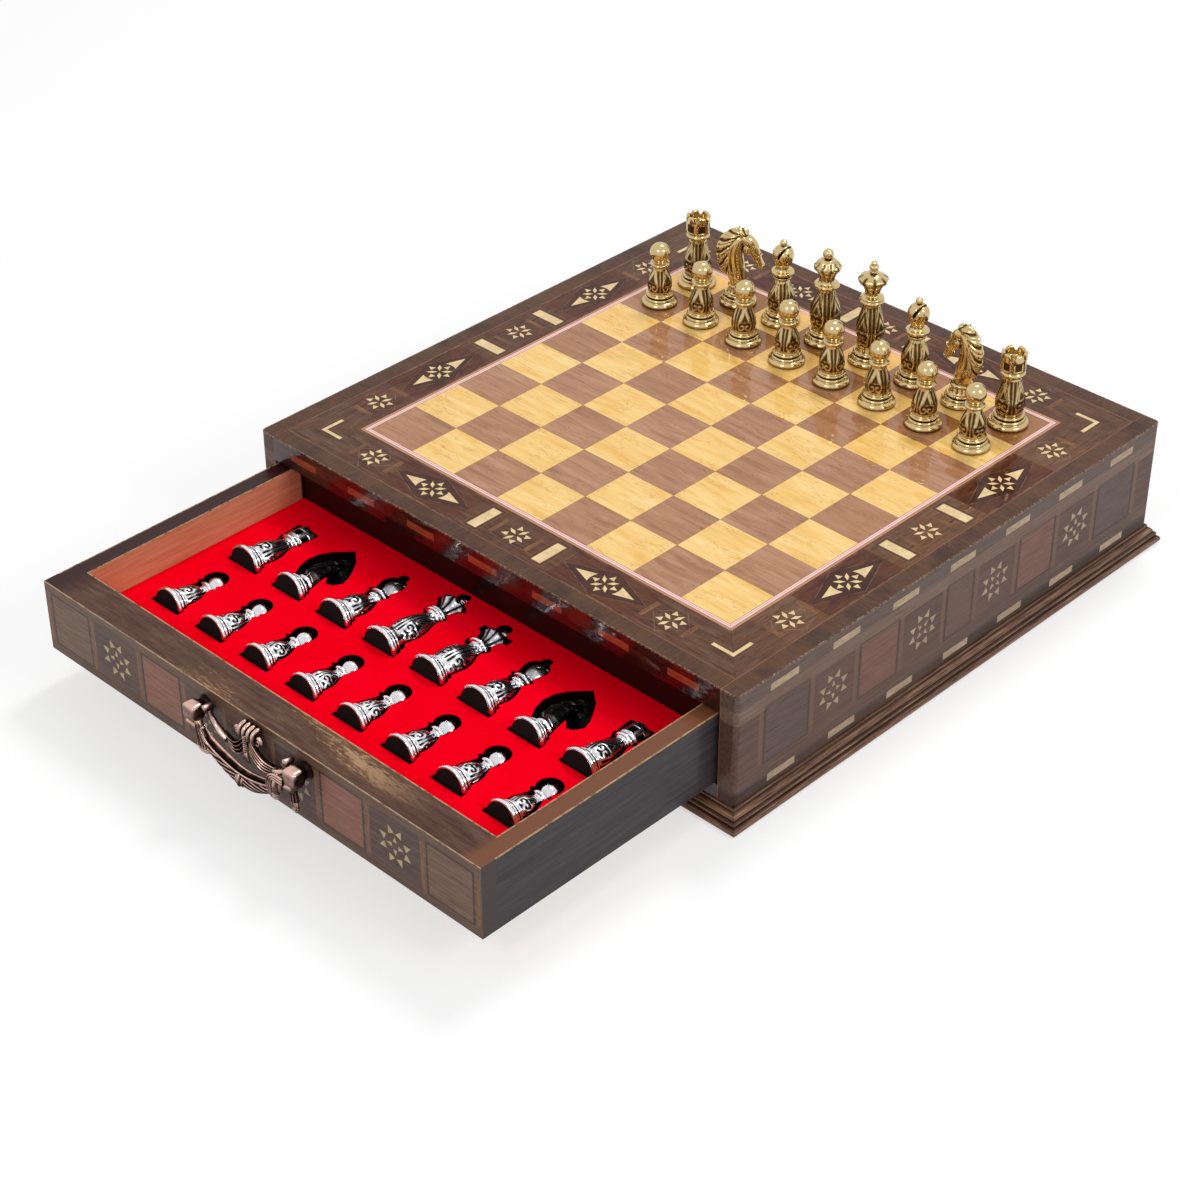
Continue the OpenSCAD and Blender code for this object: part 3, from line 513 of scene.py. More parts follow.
def face_wood(name, front_y, outward):
    """Drawer face: grey-brown ground, browner round the panels, and the rim on top."""
    s = Shader(name)
    side, height = abs(s.x), abs(s.z - DRAWER_MIDDLE)
    depth = (s.y - front_y) * -outward
    streaks = s.noise((0.04, 0.8, 0.8), 6, 0.68, 0.3)
    star = most(*[near(side, middle, half - 1.6) for middle, half in map(face_space, (0, 2))])
    panels = list(map(face_space, (1, 3)))
    around = most(*[near(side, middle, half) for middle, half in panels])
    off = least(*[abs(side - middle) - (half - 3.6) for middle, half in panels])
    frame_line = near(most(off, height - FACE_PANEL_HALF), 0.9, 0.4, 0.3)
    chips_and_glints = step(s.noise((0.18, 0.9, 0.18), 5, 0.8), 0.36, 0.52)
    edge = near(depth, 0, 0.3, 0.25) * step(s.z, DRAWER_TOP - 0.5, DRAWER_TOP - 0.1)
    ends = step(side, DRAWER_HALF - 0.6, DRAWER_HALF - 0.2) * near(depth, 0, 0.35, 0.3)
    colour = layers(
        tones(streaks, (90, 73, 63), (117, 98, 88)),
        (step(s.z, DRAWER_MIDDLE, DRAWER_TOP - 2), tones(streaks, (99, 80, 70), (129, 108, 98))),
        (star * step(height, 13.6, 13.2), tones(streaks, (86, 72, 70), (112, 96, 90))),
        (around * step(height, 14.2, 13.8), tones(streaks, (104, 82, 71), (136, 112, 99))),
        (s.clouds(0.03) * 0.35, wood(120, 96, 82)),
        (frame_line * 0.6, wood(60, 48, 43)),
        (drawer_top(s), rim_colour(s)),
        (edge * chips_and_glints * 0.8, srgb(196, 164, 126)),
        (ends * chips_and_glints * 0.4, srgb(146, 120, 96)),
        (step(side, DRAWER_HALF - 0.15, DRAWER_HALF - 0.05) * 0.85, wood(80, 76, 77)))
    return s.finish(colour, (streaks, 0.25, 0.1), coat_roughness=0.18, **SATIN)


def rim_colour(s):
    """Top edges of a drawer: brown, darker on the left, rubbed golden in the face's middle."""
    streaks = s.noise((0.06, 0.5, 0.5), 7, 0.72, 0.3)
    cloud = s.noise((0.012, 0.06, 0.06))
    specks = s.noise((0.22, 1.1, 1.1), 5, 0.8)
    middle = step(abs(s.x - 20.0), 86.0, 25.0)
    gold = step(cloud + specks * 0.9, 1.03, 1.16) * middle
    return layers(
        ramp(streaks, (0.34, wood(81, 64, 58)), (0.55, wood(103, 82, 74)),
             (0.7, wood(120, 97, 87))),
        (step(s.x, -118.0, -134.0), wood(74, 59, 54)),
        (step(s.x, 126.0, 133.0), wood(126, 90, 74)),
        (step(cloud, 0.4, 0.65) * (middle * 0.35), wood(132, 100, 76)),
        (gold * 0.7, srgb(196, 156, 116)))


def frame_wood(name, front_y, outward):
    """Drawer frame: satin black outside, orange-brown inside with painted shadow on the inner back
    wall, and a rim with rubbed edges.
    """
    s = Shader(name)
    side = abs(s.x)
    depth = (s.y - front_y) * -outward
    length = s.noise((0.5, 0.035, 0.5), 4, 0.5, 0.4)
    well = most(near(side, WELL_HALF, 0.5, 0.3) * step(depth, FACE_T + 9.0, FACE_T + 9.4),
                near(depth, FACE_T + 9.7, 0.5, 0.3) * step(side, WELL_HALF + 0.6, WELL_HALF + 0.3),
                near(side, DRAWER_HALF, 0.5, 0.3))
    chips_and_glints = step(s.noise(0.2, 5, 0.8), 0.36, 0.54)
    rubbed_and_lit = well * chips_and_glints * step(s.z, DRAWER_TOP - 0.4, DRAWER_TOP - 0.1)
    colour = layers(
        tones(length, (196, 128, 94), (218, 148, 114), srgb),
        # The inner back wall of the well is painted near-black as the shadow under the case
        (step(depth, FRAME_LENGTH - 7.0, FRAME_LENGTH - 5.5), srgb(26, 9, 7)),
        (step(side, DRAWER_HALF - 0.3, DRAWER_HALF - 0.1),
         tones(length, (76, 73, 75), (86, 83, 84))),
        (drawer_top(s), rim_colour(s)),
        (rubbed_and_lit * 0.75, srgb(200, 160, 116)))
    return s.finish(colour, (length, 0.12, 0.08), coat_roughness=0.16, **SATIN)


def face_inlay():
    """Stars of brass-coloured wood and orange-brown upright strips."""
    s = Shader("face_inlay")
    grain = (0.6, 0.6, 0.3)
    brown = s.grained((1.5, 1.5, 0.1), (118, 90, 76), (146, 114, 94), colour=wood)
    colour = layers(s.grained(grain, (160, 138, 98), (202, 182, 138), 0.2),
                    (at_any(abs(s.x), FACE_STRIPS, 1.2), brown))
    return s.finish(colour, (s.noise(grain, 4), 0.15, 0.05), coat_roughness=0.18, **SATIN)


def flock():
    """Red flock on the insert's top, and near-black painted shade inside the recesses."""
    s = Shader("red_flock")
    fibres = s.noise(2.5, 4, 0.8)
    red = ramp(fibres * 0.35 + s.noise(0.03) * 0.65,
               (0.36, srgb(236, 0, 22)), (0.64, srgb(250, 2, 32)))
    # Below the insert's top the recesses are painted near-black as shade
    colour = layers(srgb(16, 3, 4), (step(s.z, INSERT_TOP - 0.5, INSERT_TOP - 0.1), red))
    return s.finish(colour, (fibres, 0.3, 0.12), roughness=0.95, specular=0.0)


# ---------- metals and felt ----------

def metal(name, polished, tarnished, shine, dull, crevice, worn):
    """Cast metal, bright where it is raised and tarnished in the carving and in crevices."""
    s = Shader(name)
    raised = s.add("Attribute", out=2, attribute_name="relief")
    open_to_light = s.add("AmbientOcclusion", {"Distance": crevice * MM}, out=1, samples=6)
    patches = s.noise(0.35, 4, 0.6)
    value = least(raised, step(open_to_light, 0.3, 0.85)) + (patches - 0.5) * 0.5
    bright = step(value, *worn)
    marks = s.noise(0.8, 2)
    rough = s.add("MapRange", {0: bright, 3: dull, 4: shine}) + (marks - 0.5) * 0.06
    return s.finish(layers(srgb(*tarnished), (bright, srgb(*polished))), (marks, 0.06, 0.1),
                    metallic=1.0, roughness=rough)


def steel():
    s = Shader("screw_steel")
    turned = s.noise((2.0, 0.4, 2.0), 4)
    colour = ramp(turned, (0.35, srgb(120, 120, 122)), (0.65, srgb(176, 176, 178)))
    return s.finish(colour, (turned, 0.1, 0.05), metallic=1.0, roughness=0.35)


def felt():
    """Dark felt under the chessmen."""
    s = Shader("foot_felt")
    fibres = s.noise(4, 3, 0.8)
    colour = ramp(fibres, (0.35, srgb(14, 11, 12)), (0.65, srgb(34, 29, 30)))
    return s.finish(colour, (fibres, 0.4, 0.12), roughness=0.95, specular=0.1)


GOLD = metal("antique_brass", (204, 180, 130), (80, 56, 26), 0.12, 0.36, 2.6, (0.26, 0.92))
SILVER = metal("antique_chrome", (224, 224, 228), (14, 12, 13), 0.1, 0.4, 2.4, (0.2, 0.8))
COPPER = metal("antique_copper", (228, 186, 170), (30, 16, 11), 0.2, 0.4, 2.6, (0.38, 1.12))
FELT = felt()


# ---------- dressing of the frame's own nodes ----------

MAPLE = ((238, 188, 104), (252, 212, 139), (255, 224, 158), (182, 112, 50), (250, 200, 118))
WALNUT = ((162, 117, 91), (184, 138, 108), (196, 152, 122), (118, 78, 58), (156, 108, 70))
WALL_PANELS = (((92, 77, 73), (113, 97, 93)), ((112, 82, 74), (138, 106, 97)),
               ((104, 83, 75), (122, 101, 92)))
FACE_PANELS = (((108, 87, 75), (140, 117, 103)), ((132, 92, 80), (160, 119, 106)),
               ((92, 76, 71), (114, 97, 90)))
DRAWERS = ("front", "rear")
FINISHES = [
    (plain_wood(), ["base_panel", "centre_divider", "drawer_runners", "board_core"]
     + [f"{drawer}_drawer_bottom" for drawer in DRAWERS]),
    (wall_wood(), ["left_wall", "right_wall"]),
    (rail_wood(), ["front_top_rail", "back_top_rail", "front_bottom_rail", "back_bottom_rail"]),
    (face_inlay(), [f"{drawer}_face_inlays" for drawer in DRAWERS]),
    (panel_wood("face_panel", "x", (0.06, 0.9, 0.9), FACE_PANELS, 1, 0.1, 0.18),
     [f"{drawer}_face_panels" for drawer in DRAWERS]),
    (flock(), [f"{drawer}_drawer_insert" for drawer in DRAWERS]),
    (steel(), [f"{drawer}_pull_screws" for drawer in DRAWERS]),
    (moulding_wood(), ["base_moulding"]),
    (border_wood(), ["border_veneer"]),
    (square_wood("light_square", MAPLE, 0.7, 0.35), ["light_squares"]),
    (square_wood("dark_square", WALNUT, 0.6, 0.25), ["dark_squares"]),
    (stringing(), ["field_stringing"]),
    (border_inlay(), ["border_inlays"]),
    (wall_inlay(), ["wall_inlays"]),
    (panel_wood("wall_panel", "y", (1.2, 0.05, 1.2), WALL_PANELS, 0.5, 0.08, 0.14),
     ["wall_panels"]),
    (rail_inlay(), ["rail_inlays"]),
]
for drawer, front_y, outward in (("front", FRONT_FACE_Y, -1), ("rear", REAR_FACE_Y, 1)):
    FINISHES.append((face_wood(f"{drawer}_face", front_y, outward), [f"{drawer}_drawer_face"]))
    FINISHES.append((frame_wood(f"{drawer}_frame", front_y, outward), [f"{drawer}_drawer_frame"]))
for material, nodes in FINISHES:
    for node in nodes:
        for material_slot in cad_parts[node].material_slots:
            material_slot.material = material


# ---------- mesh helpers ----------

class Sculpt:
    """Gathers the surfaces of one piece."""

    def __init__(self):
        self.points, self.faces, self.relief, self.felt = [], [], [], []

    def grid(self, points, relief=None, felt_cap=False):
        """A closed surface from rows of points that each close on themselves."""
        points = np.asarray(points, float)
        rows, columns, _ = points.shape
        start = sum(len(p) for p in self.points)
        self.points.append(points.reshape(-1, 3))
        values = np.ones((rows, columns)) if relief is None else relief
        self.relief.append(np.asarray(values, float).reshape(-1))
        at = lambda i, j: start + i * columns + j % columns
        for i in range(rows - 1):
            for j in range(columns):
                self.faces.append((at(i, j), at(i, j + 1), at(i + 1, j + 1), at(i + 1, j)))
        for row, order in ((0, 1), (rows - 1, -1)):
            pole = sum(len(p) for p in self.points)
            self.points.append(points[row].mean(0)[None])
            self.relief.append(np.ones(1))
            if felt_cap and row == 0:
                self.felt = list(range(len(self.faces), len(self.faces) + columns))
            for j in range(columns):
                self.faces.append((*(at(row, j + 1), at(row, j))[::order], pole))

    def tube(self, path, radii, sides=10, flat=(0, 1, 0)):
        """A tube along a path. radii is one value or (across, along flat) for each point."""
        path = np.asarray(path, float)
        count = len(path)
        radii = np.asarray(radii, float)
        if radii.ndim < 2:
            radii = np.stack([np.broadcast_to(radii, count)] * 2, 1)
        forward = np.gradient(path, axis=0)
        forward /= np.linalg.norm(forward, axis=1)[:, None]
        flat = np.broadcast_to(np.asarray(flat, float), (count, 3))
        across = np.cross(flat, forward)
        across /= np.linalg.norm(across, axis=1)[:, None]
        second = np.cross(forward, across)
        turn = np.arange(sides) * TAU / sides
        ring = (across[:, None] * (np.cos(turn)[None] * radii[:, :1])[..., None]
                + second[:, None] * (np.sin(turn)[None] * radii[:, 1:])[..., None])
        self.grid(path[:, None] + ring)

    def rope(self, points, radii, steps=8, sides=10, flat=(0, 1, 0)):
        """A tube along a smooth curve. radii is one value or a pair for each of the points."""
        radii = spline(radii, steps) if np.ndim(radii) else radii
        self.tube(spline(points, steps), radii, sides, flat)

    def ball(self, centre, radii, sides=16, rows=10):
        radii = np.broadcast_to(np.asarray(radii, float), 3)
        lift = (np.arange(1, rows) / rows - 0.5) * math.pi
        turn = np.arange(sides) * TAU / sides
        unit = np.stack([np.cos(lift)[:, None] * np.cos(turn), np.cos(lift)[:, None] * np.sin(turn),
                         np.repeat(np.sin(lift)[:, None], sides, 1)], -1)
        start = len(self.points)
        self.grid(np.asarray(centre) + unit * radii)
        for pole, sign in ((start + 1, -1), (start + 2, 1)):
            self.points[pole] = (np.asarray(centre) + [0, 0, sign * radii[2]])[None]

    def mesh(self, name, material, base=0, shade_above=None, rubbed_and_lit=None):
        """The piece's mesh, with its points raised by base. shade_above is (height, share): above
        the height the metal loses that share of its polish, as painted shade on parts that lie deep
        in a recess. Sides that don't face the direction rubbed_and_lit stay darker: rubbed wear
        together with a painted highlight on what faces that way."""
        points = np.concatenate(self.points) + [0, 0, base]
        relief = np.concatenate(self.relief)
        if shade_above:
            start, share = shade_above
            relief = relief * (1 - share * smooth(points[:, 2], start, start + 6))
        mesh = bpy.data.meshes.new(name)
        mesh.from_pydata((points * MM).tolist(), [], self.faces)
        # Faces turned the given way keep their polish, as rubbed wear together with a painted
        # highlight; faces turned away are painted darker
        if rubbed_and_lit:
            normals = np.empty(3 * len(points))
            mesh.vertex_normals.foreach_get("vector", normals)
            facing = normals.reshape(-1, 3) @ np.asarray(rubbed_and_lit)
            relief = relief * (0.5 + 0.5 * smooth(facing, 0.3, 1.0))
        attribute = mesh.attributes.new("relief", "FLOAT", "POINT")
        attribute.data.foreach_set("value", relief.astype(np.float32))
        mesh.materials.append(material)
        mesh.materials.append(FELT)
        for face in self.felt:
            mesh.polygons[face].material_index = 1
        mesh.shade_smooth()
        mesh.set_sharp_from_angle(angle=math.radians(50))
        return mesh


def place(mesh, name, body, matrix, node):
    """Puts a mesh into the scene as one piece of the object."""
    piece = bpy.data.objects.new(name, mesh)
    bpy.context.scene.collection.objects.link(piece)
    piece.matrix_world = matrix
    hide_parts(node)
    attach(piece, body)


def moved(x, y, z):
    return Matrix.Translation(Vector((x, y, z)) * MM)


def turned(degrees, axis):
    return Matrix.Rotation(math.radians(degrees), 4, axis)


def spline(points, steps=8):
    """Smooth curve through points, as Catmull and Rom's."""
    p = np.asarray(points, float)
    p = np.vstack([2 * p[0] - p[1], p, 2 * p[-1] - p[-2]])
    t = np.linspace(0, 1, steps, endpoint=False)[:, None]
    rows = []
    for a, b, c, d in zip(p[:-3], p[1:-2], p[2:-1], p[3:]):
        rows.append(0.5 * (2 * b + (c - a) * t + (2 * a - 5 * b + 4 * c - d) * t ** 2
                           + (3 * b - a - 3 * c + d) * t ** 3))
    rows.append(p[-2][None])
    return np.vstack(rows)


def smooth(value, start, end):
    t = np.clip((value - start) / (end - start), 0, 1)
    return t * t * (3 - 2 * t)


# ---------- chessmen ----------

# Rounded foot that all chessmen share: (share of the foot's radius, height)
FOOT = [(0.9, 0), (0.97, 0.3), (1, 1.1), (0.985, 1.9), (0.92, 2.6), (0.83, 3.0), (0.825, 3.3),
        (0.84, 3.8), (0.8, 4.4), (0.72, 4.7), (0.69, 5.0), (0.76, 5.35), (0.775, 5.8),
        (0.74, 6.3), (0.65, 6.6)]
SEGMENTS = 72
CARVED = 0.44


def carving(angle, z, start, end, radius):
    """How deep a body is carved: four teardrop frames with scrolls, and reeds between them.

    Heights are from start to end, and the result is negative where the body is cut.
    """
    quarter = TAU / 4
    around = (angle + quarter / 2) % quarter - quarter / 2
    u, v, tall = np.abs(around) * radius, z - start, end - start
    widest = 0.36 * quarter * radius
    centre = 0.36 * tall
    below = np.sqrt(np.clip(1 - ((centre - v) / (0.96 * centre)) ** 2, 0, 1))
    above = 1 - np.clip((v - centre) / (0.6 * tall), 0, 1) ** 1.6
    edge = u - widest * np.where(v < centre, below, above)
    ridge = np.exp(-(edge / 0.42) ** 2)
    inside = smooth(-edge, 0.1, 0.7)
    spin = np.hypot(u - 0.46 * widest, v - 0.27 * tall)
    phase = np.arctan2(v - 0.27 * tall, u - 0.46 * widest)
    scroll = 0.5 + 0.5 * np.cos(TAU * spin / 2.3 - phase)
    leaf = 0.5 + 0.5 * np.cos(TAU * (u * 0.75 + (v - centre) * 0.3) / 2.2)
    pattern = np.where(v < 0.46 * tall, scroll, leaf)
    reeds = 0.5 + 0.5 * np.cos(TAU * (u - 0.5 * quarter * radius) / 2.0)
    depth = -CARVED + CARVED * ridge + (1 - ridge) * (0.38 * inside * pattern
                                                  + 0.32 * (1 - inside) * reeds)
    fade = smooth(v, 0.2, 1.1) * smooth(end - z, 0.2, 1.1)
    return depth * fade


def turned_piece(foot_r, outline, body=None, shape=None, steps=5):
    """A turned chessman. body is the carved stretch, and shape changes its rows of points."""
    curve = spline([(share * foot_r, z) for share, z in FOOT] + outline, steps)
    curve[:, 0] = np.maximum(curve[:, 0], 0.05)
    turn = np.arange(SEGMENTS) * TAU / SEGMENTS
    radius = np.repeat(curve[:, :1], SEGMENTS, 1)
    height = np.repeat(curve[:, 1:], SEGMENTS, 1)
    depth = np.zeros_like(radius)
    if body:
        depth = carving(turn[None], height, *body, np.maximum(radius, 1))
        radius = radius + depth
    if shape:
        radius, height, cut = shape(radius, height, turn[None])
        depth = depth + cut
    sculpt = Sculpt()
    sculpt.grid(np.stack([radius * np.cos(turn), radius * np.sin(turn), height], -1),
                np.clip(1 + depth / CARVED, 0, 1), felt_cap=True)
    return sculpt


def rook_shape(radius, height, turn):
    """Six battlements, and a square sunk panel below each of them."""
    sixth = TAU / 6
    around = np.abs((turn + sixth / 2) % sixth - sixth / 2) * 6.0
    gap = 1 - smooth(around, 0.75, 1.25)
    gap_z = 36.4
    rim = height > gap_z
    height = np.where(rim & (radius > 3.6), height - (height - gap_z) * gap, height)
    offset = np.abs(turn % sixth - sixth / 2) * 6.0
    panel = ((1 - smooth(offset, 1.75, 2.1)) * smooth(height, 30.6, 31.1)
             * (1 - smooth(height, 34.8, 35.3)) * (radius > 5))
    radius = radius - 0.4 * panel
    return radius, height, -0.34 * panel


def bishop_shape(radius, height, turn):
    """Slanting slit in the mitre, open towards +X."""
    x = radius * np.cos(turn)
    away = (x - 1.1 - (height - 37.6) * math.tan(math.radians(24))) * 0.9
    slit = (1 - smooth(np.abs(away), 0.3, 0.75)) * smooth(height, 36.2, 36.8) * (radius > 1.6)
    return radius * (1 - 0.3 * slit), height, -0.6 * slit


def scallops(count, middle, spread, swing, lift, reeds):
    """Waves round a rim at the middle height, and reeds between the two heights in reeds."""
    def shape(radius, height, turn):
        at_rim = np.exp(-((height - middle) / spread) ** 2)
        wave = np.cos(count * turn) * at_rim * (radius > 3)
        fluted = smooth(height, reeds[0], reeds[0] + 1.2) * smooth(height, reeds[1], reeds[1] - 1)
        groove = fluted * (1 - np.abs(np.sin(count * turn / 2)) ** 0.6) * (radius > 2.5)
        radius = radius + swing * (wave - 1) * (np.abs(height - middle) < 3 * spread) * at_rim
        return radius - 0.55 * groove, height + lift * wave, -0.44 * groove
    return shape


def mane(s):
    """Crest of wavy locks that sweep out and down from the back of the neck."""
    rows, around, locks = 120, 44, 6
    crest = spline([(3.6, 0, 38.2), (0.4, 0, 39.4), (-3.4, 0, 37.4), (-6.0, 0, 32.8),
                    (-6.9, 0, 27.2), (-6.2, 0, 21.4), (-4.6, 0, 15.6)], 30)
    tips = spline([(6.6, 0, 39.0), (1.0, 0, 42.0), (-6.0, 0, 40.4), (-10.6, 0, 35.0),
                   (-12.0, 0, 27.8), (-10.6, 0, 20.6), (-7.2, 0, 13.6)], 30)
    pick = np.linspace(0, len(crest) - 1, rows).astype(int)
    crest, tips = crest[pick], tips[pick]
    inner = crest + 0.55 * (crest - tips)
    share = np.linspace(0, 1, rows)[:, None]
    turn = np.arange(around)[None] * TAU / around
    out = 0.5 + 0.5 * np.cos(turn)
    phase = locks * share - 1.1 * out + 0.12 * np.sin(TAU * out) - 0.1 * np.sign(np.sin(turn))
    lock = np.abs(np.sin(math.pi * phase)) ** 0.7
    strand = np.abs(np.sin(math.pi * 2 * phase + 0.6)) ** 0.6
    thick = 3.1 * (1 - out) ** 0.45 * (0.35 + out) ** 0.5 + 0.5
    ends = np.minimum(smooth(share, 0, 0.08), smooth(share, 1, 0.9))
    side = np.sin(turn)
    swell = thick * (0.66 + 0.34 * lock + 0.3 * strand) * (0.25 + 0.75 * ends)
    wide = out * (0.88 + 0.1 * lock * out + 0.05 * strand * out) * (0.4 + 0.6 * ends)
    points = inner[:, None] + (tips - inner)[:, None] * wide[..., None]
    points = points + (swell * np.sign(side) * np.abs(side) ** 0.75)[..., None] * [0, 1, 0]
    s.grid(points, smooth(0.5 * lock + 0.5 * strand, 0.35, 0.8))


def horse(s):
    """Horse's head with the muzzle towards +X: arched neck, long face, ears and wavy mane."""
    s.rope([(0, 0, 8.5), (-0.4, 0, 13), (-1.8, 0, 18.5), (-2.8, 0, 24.5), (-2.6, 0, 30),
            (-0.8, 0, 34.4), (1.4, 0, 36.6)],
           [(4.6, 4.2), (4.5, 3.8), (5.0, 3.8), (4.9, 3.6), (4.3, 3.3), (3.4, 2.9), (2.2, 2.2)],
           sides=28)
    s.rope([(0.2, 0, 36.8), (3.4, 0, 35.0), (6.0, 0, 31.8), (7.9, 0, 28.0), (9.4, 0, 24.4),
            (10.6, 0, 21.4), (11.0, 0, 19.8)],
           [(2.0, 2.0), (3.4, 2.9), (3.5, 2.8), (2.6, 2.2), (2.1, 1.8), (2.2, 1.9), (1.3, 1.3)],
           sides=28)
    # Brow, nostril, mouth, cheek strap and collar of each side: radius, then points
    lines = [(0.42, (5.4, 2.45, 32.9), (7.0, 2.4, 32.9), (8.4, 1.8, 31.2)),
             (0.5, (11.3, 0.9, 22.5), (11.6, 1.4, 21.7), (11.0, 1.5, 21.1)),
             (0.34, (9.9, 1.4, 20.1), (8.8, 1.8, 21.5), (8.3, 1.7, 23.1)),
             (0.32, (8.6, 2.0, 27.6), (5.9, 2.9, 30.6), (2.0, 3.3, 34.6)),
             (0.42, (4.4, 3.5, 11.4), (2.2, 4.1, 12.6), (-1.0, 3.9, 14.6), (-4.2, 2.2, 16.8))]
    for side in (-1, 1):
        s.ball((3.9, side * 1.3, 30.8), (2.7, 2.0, 3.0), 20, 12)
        s.ball((7.2, side * 2.2, 31.6), (0.75, 0.5, 0.55))
        s.tube([(0.6, side * 1.4, 37.2), (0.1, side * 1.9, 39.6), (-0.7, side * 2.0, 41.9)],
               [(1.2, 0.9), (0.95, 0.6), (0.15, 0.12)], 10)
        for radius, *points in lines:
            s.rope([(x, side * y, z) for x, y, z in points], radius, sides=8)
    for at, lean, wide, deep in ((9.2, 0.45, 1.95, 2.1), (4.0, -0.55, 3.5, 3.3)):
        turn = np.linspace(0, TAU, 29)
        middle = np.array([at, 0, 27.0 if at > 5 else 32.6])
        along = np.array([math.cos(lean), 0, math.sin(lean)])
        ring = middle + np.outer(np.cos(turn) * deep, along) + np.outer(np.sin(turn) * wide,
                                                                       [0, 1, 0])
        s.tube(ring, 0.3, 8, flat=np.cross(along, [0, 1, 0]))
    mane(s)


# Each chessman: radius of its foot, height, outline of (radius, height) above the foot, carving
CHESSMEN = {
    "pawn": (9.1, 33.6, [(5.75, 7.2), (6.1, 8.6), (6.35, 10.6), (6.2, 12.8), (5.6, 15.2),
        (4.6, 17.6), (3.75, 19.6), (3.5, 20.6), (3.6, 21.2), (4.6, 21.7), (5.0, 22.3),
        (4.8, 23.0), (3.8, 23.5), (3.3, 23.9), (3.6, 24.6), (4.5, 26.0), (5.05, 27.5),
        (5.15, 28.5), (5.05, 29.5), (4.5, 31.1), (3.4, 32.4), (1.9, 33.3), (0.05, 33.6)],
        dict(body=(7.4, 20.2))),
    "rook": (9.8, 39, [(6.05, 6.9), (6.9, 9.0), (7.15, 11.5), (7.0, 14.0), (6.3, 17.4),
        (5.3, 21.4), (4.5, 24.6), (4.3, 25.9), (4.5, 26.6), (5.6, 27.1), (5.95, 27.9),
        (5.6, 28.8), (5.15, 29.3), (5.5, 29.8), (5.95, 30.2), (6.05, 31.2), (6.1, 33.2),
        (6.15, 35.2), (6.2, 36.6), (6.2, 38.2), (6.1, 38.9), (5.6, 39.0), (4.7, 39.0),
        (4.4, 38.7), (4.35, 37.4), (4.3, 35.6), (3.9, 34.8), (2.4, 34.5), (0.05, 34.5)],
        dict(body=(7.4, 25.2), shape=rook_shape)),
    "knight": (9.5, 42, [(5.6, 7.1), (5.2, 8.4), (5.0, 9.4), (5.5, 10.0), (5.4, 10.8),
        (4.4, 11.4), (2.0, 11.7), (0.05, 11.8)],
        dict()),
    "bishop": (9.8, 45.4, [(6.2, 7.3), (6.8, 9.4), (7.05, 12.6), (6.8, 15.4), (5.7, 18.8),
        (4.3, 21.8), (3.4, 23.6), (3.5, 24.3), (4.5, 24.8), (4.6, 25.6), (3.8, 26.2), (4.0, 26.7),
        (5.5, 27.1), (5.8, 27.9), (5.5, 28.7), (4.1, 29.2), (3.5, 30.2), (3.5, 31.4), (4.2, 32.8),
        (5.0, 34.8), (5.35, 36.9), (5.15, 38.9), (4.3, 40.7), (2.9, 41.9), (1.5, 42.5),
        (1.15, 42.8), (1.75, 43.3), (1.85, 43.9), (1.5, 44.9), (0.7, 45.35), (0.05, 45.4)],
        dict(body=(7.8, 23.2), shape=bishop_shape, steps=6)),
    "queen": (10, 50.5, [(6.3, 7.4), (7.0, 9.8), (7.75, 14.4), (7.6, 18.0), (6.7, 21.6),
        (5.4, 25.2), (4.5, 28.2), (4.3, 29.4), (4.6, 30.1), (6.0, 30.5), (6.3, 31.4), (5.9, 32.3),
        (4.4, 32.8), (3.9, 34.2), (4.1, 36.0), (4.7, 37.8), (5.8, 39.4), (7.0, 40.6), (7.2, 41.4),
        (6.9, 42.1), (6.0, 42.5), (5.4, 43.2), (4.6, 44.4), (3.2, 45.3), (1.7, 45.8), (1.5, 46.1),
        (2.3, 46.7), (2.7, 47.9), (2.4, 49.3), (1.4, 50.3), (0.05, 50.5)],
        dict(body=(8.4, 29.2), shape=scallops(10, 41.4, 1.1, 0.35, 0.25, (33.4, 45.0)))),
    "king": (10, 54.4, [(6.2, 7.6), (5.9, 9.6), (6.4, 12.2), (7.0, 16.4), (6.9, 19.6),
        (6.2, 23.8), (5.2, 27.6), (4.3, 30.8), (4.2, 32.0), (4.7, 32.7), (5.9, 33.1),
        (6.05, 33.9), (5.4, 34.5), (5.6, 34.9), (5.75, 35.5), (4.8, 36.2), (3.7, 36.9),
        (3.8, 38.4), (4.3, 40.2), (5.4, 42.2), (7.0, 43.6), (7.7, 44.6), (7.6, 45.5), (6.6, 46.3),
        (4.8, 47.2), (3.0, 47.9), (1.6, 48.3), (1.35, 48.7), (1.9, 49.1), (2.1, 49.6),
        (1.5, 50.1), (1.6, 50.4), (2.3, 51.0), (2.35, 51.8), (1.9, 52.5), (1.3, 52.8),
        (1.5, 53.2), (1.4, 53.8), (0.9, 54.3), (0.05, 54.4)],
        dict(body=(9.2, 31.6), shape=scallops(8, 44.9, 1.2, 0.4, 0.3, (37.4, 47.6)))),
}
SCULPTS = {kind: turned_piece(foot_r, outline, **carved)
           for kind, (foot_r, _, outline, carved) in CHESSMEN.items()}
horse(SCULPTS["knight"])


def rest(kind):
    """(tilt in degrees, height of the foot's centre) of a piece that lies on its side."""
    cloud = np.concatenate(SCULPTS[kind].points)
    rim_z = 1.1
    rim_r, tall = CHESSMEN[kind][:2]
    upper = cloud[cloud[:, 2] > 0.3 * tall]
    tilt = np.arctan(np.min((rim_r + upper[:, 1]) / (upper[:, 2] - rim_z)))
    reach = np.max(-cloud[:, 1] * math.cos(tilt) + cloud[:, 2] * math.sin(tilt))
    return math.degrees(tilt), REST_GAP + reach


